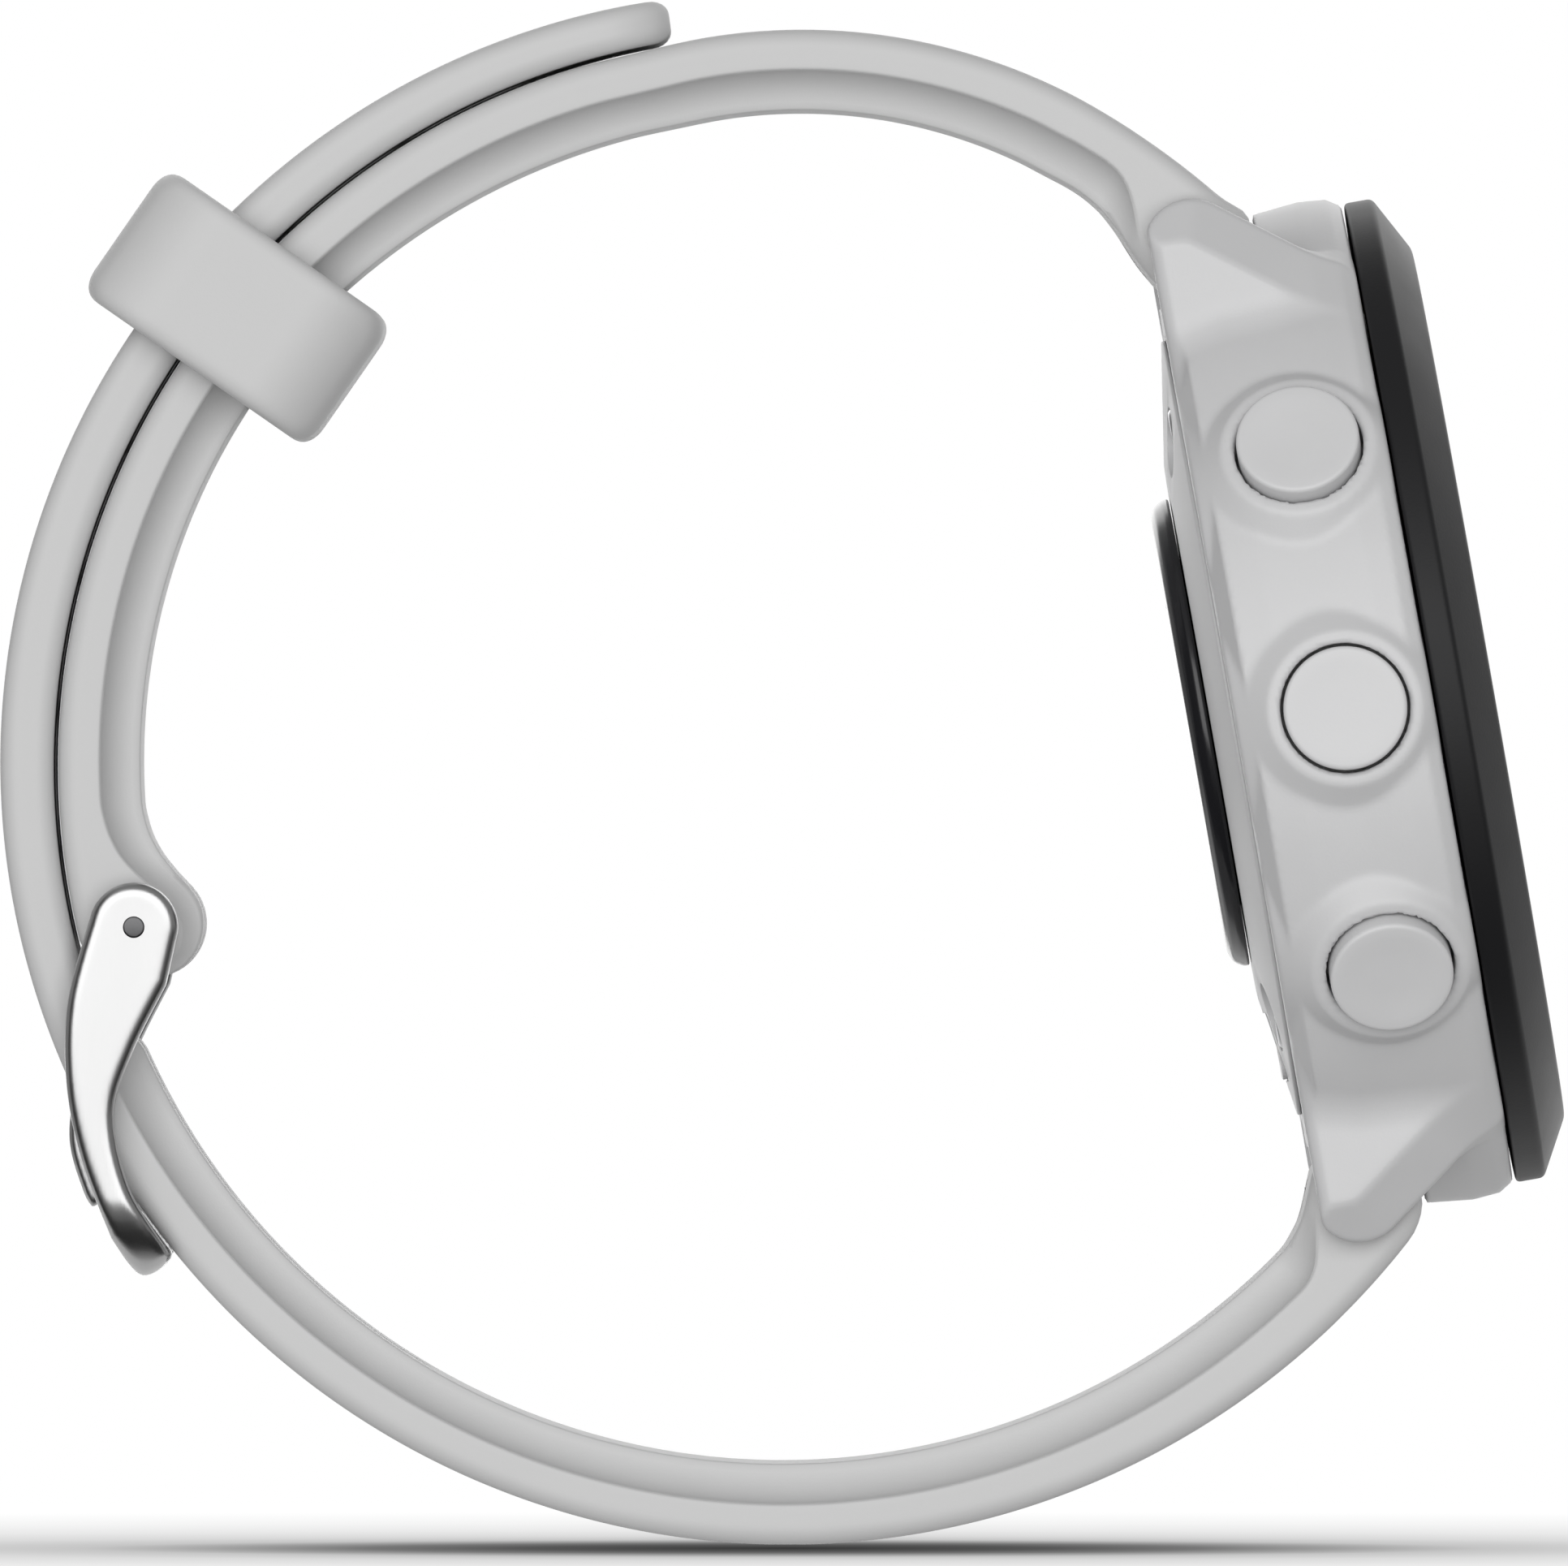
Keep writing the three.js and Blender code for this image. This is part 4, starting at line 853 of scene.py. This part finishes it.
def build_keeper(mats):
    turn = math.radians(KEEPER_TURN)
    out = Vector((math.cos(turn), 0, math.sin(turn)))
    along = Vector((-math.sin(turn), 0, math.cos(turn)))
    place = Matrix((out, Vector((0, 1, 0)), along)).transposed().to_4x4()
    place.translation = (KEEPER_X, 0, KEEPER_Z)
    low = (-KEEPER_ACROSS / 2, -KEEPER_HALF, -KEEPER_ALONG / 2)
    verts, faces = surface(keeper_field, low, [-v for v in low], 0.2)
    keeper = add_object("keeper", verts, faces, mats, "strap_silicone", "keeper", place)
    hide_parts("keeper_loop")


# ------------------------ buckle

# Outlines in the side view are given as offsets from the pin

def spline(points, start, steps=8):
    """Points along a uniform Catmull-Rom curve from start through points."""
    points = [np.array(p, float) for p in (start, *points)]
    path = []
    for k in range(len(points) - 1):
        p0, p1, p2 = points[max(k - 1, 0)], points[k], points[k + 1]
        p3 = points[min(k + 2, len(points) - 1)]
        for step in range(1, steps + 1):
            t = step / steps
            v0, v1 = (p2 - p0) / 2, (p3 - p1) / 2
            cubic, square = 2 * (p1 - p2) + v0 + v1, 3 * (p2 - p1) - 2 * v0 - v1
            path.append(cubic * t ** 3 + square * t ** 2 + v0 * t + p1)
    return path


def arm_outline():
    """A round head at the pin, the back edge down to the foot, the foot, and the front edge up again."""
    head = arc(0, 0, 1.88, -5, 160, 24)
    path = [np.array(p) for p in head]
    for run in (
        [(-2.77, -3.08), (-2.84, -6.6), (-2.19, -9.85), (-0.96, -13.09)],
        [(-0.18, -14.26), (0.41, -14.8), (1.12, -14.39), (1.5, -13.88), (1.43, -13.61)],
        [(-0.18, -11.01), (-0.82, -7.9), (-0.07, -5.3), (1.36, -2.43)],
    ):
        path += spline(run, path[-1])
    return [(PIN_X + x, PIN_Z + z) for x, z in path]


ARM_INNER, ARM_OUTER, END_BAR_TOP = 10.4, 12.0, 14.1
FRAME_FOOT, FRAME_CORNER = PIN_Z - 14.82, 3.4  # lowest point, and round corners between arms and end bar
TONGUE_HALF, PIN_R = 1.0, 0.48


def frame_field(x, y, z):
    """Two arms and the end bar that joins them, with room for the tail."""
    away = np.abs(y)
    low = np.maximum(FRAME_FOOT + FRAME_CORNER - z, 0)
    over = np.maximum(away - ARM_OUTER + FRAME_CORNER, 0)
    envelope = np.hypot(low, over) - FRAME_CORNER
    solid = soft_max(polygon_distance(x, z, arm_outline()), envelope, 0.5)
    gap = all_of(1.0, END_BAR_TOP - z, away - ARM_INNER)
    angle = np.clip(np.degrees(np.arctan2(z - LOOP_Z, x - LOOP_X)) % 360, 200, 235)
    far = np.hypot(x - LOOP_X, z - LOOP_Z)
    room = np.maximum(far - tail_outer(angle) - 0.25, away - ARM_INNER + 0.05)
    return soft_max(soft_max(solid, -gap, 0.35), -room, 0.25)


def tongue_outline():
    """A round eye on the pin and a narrow curved prong."""
    path = [np.array(p) for p in arc(0, 0, 1.35, -20, 215, 30)]
    path += spline([(-1.45, -3.0), (-2.5, -6.1), (-2.9, -8.9), (-2.3, -11.2), (-1.85, -11.95)], path[-1])
    path += spline([(-1.55, -10.9), (-2.05, -8.9), (-1.7, -6.1), (-0.6, -3.0), (0.75, -1.2)], (-1.2, -11.6))
    return [(PIN_X + x, PIN_Z + z) for x, z in path]


def tongue_field(x, y, z):
    solid = soft_max(polygon_distance(x, z, tongue_outline()) + 0.07, np.abs(y) - TONGUE_HALF, 0.4)
    return soft_max(solid, 0.6 - np.hypot(x - PIN_X, z - PIN_Z), 0.1)


def build_buckle(mats):
    step = 0.15
    verts, faces = surface(frame_field, (-31, -ARM_OUTER, 11), (-24, ARM_OUTER, 28.2), step)
    frame_piece = add_object("buckle_body", verts, faces, mats, "buckle_steel", "buckle")
    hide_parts("buckle_frame")
    verts, faces = surface(tongue_field, (-31, -1.1, 13.5), (-25.5, 1.1, 28), step)
    tongue = add_object("buckle_prong", verts, faces, mats, "buckle_steel", "tongue")
    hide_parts("buckle_tongue")
    end = ARM_OUTER + 0.04
    profile = [(0, -end), (PIN_R, -end), (PIN_R, end), (0, end)]
    place = Matrix.Translation((PIN_X, 0, PIN_Z)) @ Matrix.Rotation(math.radians(-90), 4, "X")
    pin = turned("buckle_axle", profile, mats, "bar_steel", "buckle", place, 0.12, 48)
    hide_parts("buckle_pin")


# ------------------------ materials

def surface_material(name, color, rough, metal=0.0, grain=0.12, depth=0.003, mottle=0.03, spread=0.05,
                     stretch=(1, 1, 1), **sockets):
    """A principled surface: fine grain as bump and gloss, and slow mottling of colour. Sizes in mm."""
    made = bpy.data.materials.new(name)
    made.use_nodes = True
    nodes, links = made.node_tree.nodes, made.node_tree.links
    bsdf = nodes["Principled BSDF"]
    bsdf.inputs["Metallic"].default_value = metal
    for socket, value in sockets.items():
        bsdf.inputs[socket.replace("_", " ")].default_value = value
    coords = nodes.new("ShaderNodeTexCoord")

    def noise(size, detail):
        mapping = nodes.new("ShaderNodeMapping")
        mapping.inputs["Scale"].default_value = [s / (size * MM) for s in stretch]
        links.new(coords.outputs["Object"], mapping.inputs["Vector"])
        texture = nodes.new("ShaderNodeTexNoise")
        texture.inputs["Scale"].default_value = 1.0
        texture.inputs["Detail"].default_value = detail
        links.new(mapping.outputs["Vector"], texture.inputs["Vector"])
        return texture.outputs["Fac"]

    def remap(source, low, high):
        node = nodes.new("ShaderNodeMapRange")
        node.inputs["To Min"].default_value = low
        node.inputs["To Max"].default_value = high
        links.new(source, node.inputs["Value"])
        return node.outputs["Result"]

    fine = noise(grain, 3)
    slow = noise(grain * 30, 4)
    colors = nodes.new("ShaderNodeMix")
    colors.data_type = "RGBA"
    colors.inputs["A"].default_value = (*[max(0, c * (1 - mottle)) for c in color], 1)
    colors.inputs["B"].default_value = (*[min(1, c * (1 + mottle)) for c in color], 1)
    both = nodes.new("ShaderNodeMath")
    both.operation = "MULTIPLY_ADD"
    both.inputs[1].default_value = 0.4
    links.new(fine, both.inputs[0])
    links.new(remap(slow, -0.2, 0.8), both.inputs[2])
    links.new(both.outputs["Value"], colors.inputs["Factor"])
    links.new(colors.outputs["Result"], bsdf.inputs["Base Color"])
    links.new(remap(slow, rough - spread, rough + spread), bsdf.inputs["Roughness"])
    bump = nodes.new("ShaderNodeBump")
    bump.inputs["Distance"].default_value = depth * MM
    bump.inputs["Strength"].default_value = 1.0
    links.new(fine, bump.inputs["Height"])
    links.new(bump.outputs["Normal"], bsdf.inputs["Normal"])
    return made


FINISHES = {
    "case_polymer": dict(color=(0.58, 0.58, 0.585), rough=0.42, grain=0.1, depth=0.004),
    "button_polymer": dict(color=(0.6, 0.6, 0.605), rough=0.4, grain=0.1, depth=0.003),
    "bezel_polymer": dict(color=(0.008, 0.008, 0.009), rough=0.5, depth=0.005, Specular_IOR_Level=0.3),
    "lens_glass": dict(color=(0.55, 0.56, 0.58), rough=0.03, grain=2, depth=0.0001, spread=0.01,
                       Transmission_Weight=1, IOR=1.5),
    "display": dict(color=(0.012, 0.013, 0.016), rough=0.35, grain=2, depth=0.0001, spread=0.02,
                    Specular_IOR_Level=0.1),
    "dial_print": dict(color=(0.62, 0.64, 0.66), rough=0.5, grain=0.2, depth=0.001),
    "seal_rubber": dict(color=(0.02, 0.02, 0.02), rough=0.75, grain=0.1, depth=0.004),
    "inner_plastic": dict(color=(0.1, 0.1, 0.11), rough=0.55, depth=0.004),
    "antenna_gold": dict(color=(0.78, 0.56, 0.24), rough=0.25, metal=1, grain=0.08, depth=0.001),
    "circuit_board": dict(color=(0.02, 0.1, 0.04), rough=0.4, grain=0.4, depth=0.01, mottle=0.2),
    "shield_tin": dict(color=(0.6, 0.6, 0.6), rough=0.35, metal=1, grain=0.1, depth=0.002,
                       stretch=(0.1, 1, 1)),
    "battery_foil": dict(color=(0.5, 0.5, 0.52), rough=0.35, metal=0.8, grain=0.3, depth=0.01),
    "motor_steel": dict(color=(0.5, 0.5, 0.5), rough=0.3, metal=1, grain=0.08, depth=0.002),
    "component_black": dict(color=(0.02, 0.02, 0.02), rough=0.5, grain=0.1),
    "clip_steel": dict(color=(0.45, 0.45, 0.45), rough=0.3, metal=1, grain=0.06, depth=0.001),
    "screw_steel": dict(color=(0.55, 0.55, 0.56), rough=0.28, metal=1, grain=0.08, depth=0.002),
    "sensor_black": dict(color=(0.012, 0.012, 0.014), rough=0.22, grain=0.15, depth=0.001),
    "sensor_glass": dict(color=(0.25, 0.25, 0.27), rough=0.04, grain=2, depth=0.0001, spread=0.01,
                         Transmission_Weight=1, IOR=1.5),
    "led_green": dict(color=(0.1, 0.5, 0.15), rough=0.15, grain=0.3, depth=0.002),
    "photodiode_black": dict(color=(0.02, 0.02, 0.03), rough=0.12, grain=0.3, depth=0.001),
    "strap_silicone": dict(color=(0.56, 0.56, 0.56), rough=0.55, grain=0.09, depth=0.004, mottle=0.02,
                           Sheen_Weight=0.1),
    "buckle_steel": dict(color=(0.43, 0.43, 0.43), rough=0.3, metal=1, grain=0.1, depth=0.001,
                         stretch=(1, 1, 0.12)),
    "bar_steel": dict(color=(0.1, 0.1, 0.102), rough=0.35, metal=1, grain=0.08, depth=0.002),
}


def dress_cad_nodes(mats):
    """Gives each CAD node the finish of its slot."""
    for part in RECORD["subparts"]:
        node = frame["nodes"][part["node"]]
        for slot in node.material_slots:
            slot.material = mats[part["material_slot"]]


# ------------------------ stage, light and camera

SURROUND = 0.33  # brightness of the white surround in everything but the camera's direct view
GLOW_AND_SHADOW_FADE = (6.5, 5.76, 6)  # one over the distance in metres, along each axis, at which the floor is white
# The floor's glow from under the strap outwards, dark near the strap as a painted contact shadow, each (share of
# that distance, brightness)
GLOW_AND_PAINTED_SHADOW = ((0, 0.03), (0.072, 0.09), (0.114, 0.18), (0.15, 0.34), (0.192, 0.56), (0.27, 0.7), (0.39, 0.81),
        (0.56, 0.9), (0.85, 1))
CARDS = (  # name, size, location, turn in degrees, brightness
    ("black_card_left", (0.3, 0.5), (-0.32, -0.2, 0.1), (90, 0, 65), 0),
    ("white_card_right", (0.3, 0.5), (0.3, 0.1, 0.05), (90, 0, -68), 0.9),
    ("black_card_below", (1.6, 0.8), (0, -0.42, -0.06), (0, 0, 0), 0),
    ("white_card_below", (0.6, 0.3), (0, 0.15, -0.06), (0, 0, 0), 0.8),
)


def build_floor():
    """A floor that glows white away from the watch, with a painted contact shadow darker where the strap stands;
    only the camera sees it.
    """
    floor = stage_plane("studio_floor", (0.34, 0.36), (0, -0.024, cad_box[0][2]), (0, 0, 0))
    floor_glow = surface_material("floor_glow_painted_shadow", (0.01, 0.01, 0.01), 0.8, grain=1, depth=0.002, mottle=0.005,
                             Specular_IOR_Level=0.0, Emission_Strength=1.0)
    nodes, links = floor_glow.node_tree.nodes, floor_glow.node_tree.links
    coords = nodes.new("ShaderNodeTexCoord")
    oval = nodes.new("ShaderNodeMapping")
    oval.inputs["Scale"].default_value = GLOW_AND_SHADOW_FADE
    links.new(coords.outputs["Object"], oval.inputs["Vector"])
    distance = nodes.new("ShaderNodeVectorMath")
    distance.operation = "LENGTH"
    links.new(oval.outputs["Vector"], distance.inputs[0])
    # Painted contact shadow: the floor's own glow is dark under the strap and white further out
    glow_and_shadow = nodes.new("ShaderNodeValToRGB")
    while len(glow_and_shadow.color_ramp.elements) < len(GLOW_AND_PAINTED_SHADOW):
        glow_and_shadow.color_ramp.elements.new(0.5)
    for element, (position, level) in zip(glow_and_shadow.color_ramp.elements, GLOW_AND_PAINTED_SHADOW):
        element.position = position
        element.color = (level, level, level, 1)
    links.new(distance.outputs["Value"], glow_and_shadow.inputs["Fac"])
    links.new(glow_and_shadow.outputs["Color"], nodes["Principled BSDF"].inputs["Emission Color"])
    floor.data.materials.append(floor_glow)
    floor.visible_glossy = floor.visible_diffuse = floor.visible_shadow = False


def build_cards():
    """Black and white cards that only reflections see."""
    for name, size, location, turn, brightness in CARDS:
        card = stage_plane(name, size, location, turn)
        board = surface_material(name, (0.01, 0.01, 0.01), 0.9, grain=1, Emission_Color=(1, 1, 1, 1),
                                 Emission_Strength=brightness)
        card.data.materials.append(board)
        card.visible_camera = card.visible_diffuse = card.visible_shadow = False


def stage_plane(name, size, location, turn):
    """A rectangle of the studio, turned by angles in degrees."""
    mesh = bpy.data.meshes.new(name)
    x, y = size[0] / 2, size[1] / 2
    mesh.from_pydata([(-x, -y, 0), (x, -y, 0), (x, y, 0), (-x, y, 0)], [], [(0, 1, 2, 3)])
    obj = bpy.data.objects.new(name, mesh)
    obj.location = location
    obj.rotation_euler = [math.radians(t) for t in turn]
    bpy.context.scene.collection.objects.link(obj)
    return obj


def area_light(name, location, target, size, power):
    """A large soft light that points at a target and isn't seen itself."""
    light = bpy.data.lights.new(name, "AREA")
    light.shape = "RECTANGLE"
    light.size, light.size_y = size
    light.energy = power
    obj = bpy.data.objects.new(name, light)
    obj.location = location
    obj.rotation_euler = (Vector(target) - Vector(location)).to_track_quat("-Z", "Y").to_euler()
    obj.visible_camera = False
    bpy.context.scene.collection.objects.link(obj)


def build_light():
    """A pale surround that looks white behind the watch, and large soft lights in front and behind."""
    world = bpy.data.worlds.new("studio")
    bpy.context.scene.world = world
    world.use_nodes = True
    nodes, links = world.node_tree.nodes, world.node_tree.links
    background = nodes["Background"]
    background.inputs["Color"].default_value = (1, 1, 1, 1)
    seen = nodes.new("ShaderNodeLightPath")
    level = nodes.new("ShaderNodeMapRange")
    level.inputs["To Min"].default_value = SURROUND
    level.inputs["To Max"].default_value = 1.0
    links.new(seen.outputs["Is Camera Ray"], level.inputs["Value"])
    links.new(level.outputs["Result"], background.inputs["Strength"])
    middle = (0, 0, 0.032)
    area_light("front", (-0.1, -1.2, 0.2), middle, (1.5, 1.2), 13.8)
    area_light("back", (0.1, 1.2, 0.35), middle, (1.5, 1.2), 9.0)


def build_camera():
    """Level, square to the 9 o'clock side of the watch, from well back."""
    distance, height = 2.95, 0.03209
    near_face, width = -0.0105, 0.06605  # where the picture is this wide
    camera = bpy.data.objects.new("camera", bpy.data.cameras.new("camera"))
    bpy.context.scene.collection.objects.link(camera)
    camera.data.lens = camera.data.sensor_width * distance / width
    camera.location = (0, near_face - distance, height)
    camera.rotation_euler = (math.radians(90), 0, 0)
    camera.data.clip_start, camera.data.clip_end = 0.01, 10
    bpy.context.scene.camera = camera


def build():
    mats = {name: surface_material(name, **finish) for name, finish in FINISHES.items()}
    dress_cad_nodes(mats)
    for build_piece in (build_case, build_buttons, build_cover, build_sensor, build_screws, build_contacts,
                        build_display, build_tail, build_band, build_keeper, build_buckle):
        build_piece(mats)
    build_floor()
    build_cards()
    build_light()
    build_camera()
    bpy.context.scene.view_settings.view_transform = "Standard"


build()
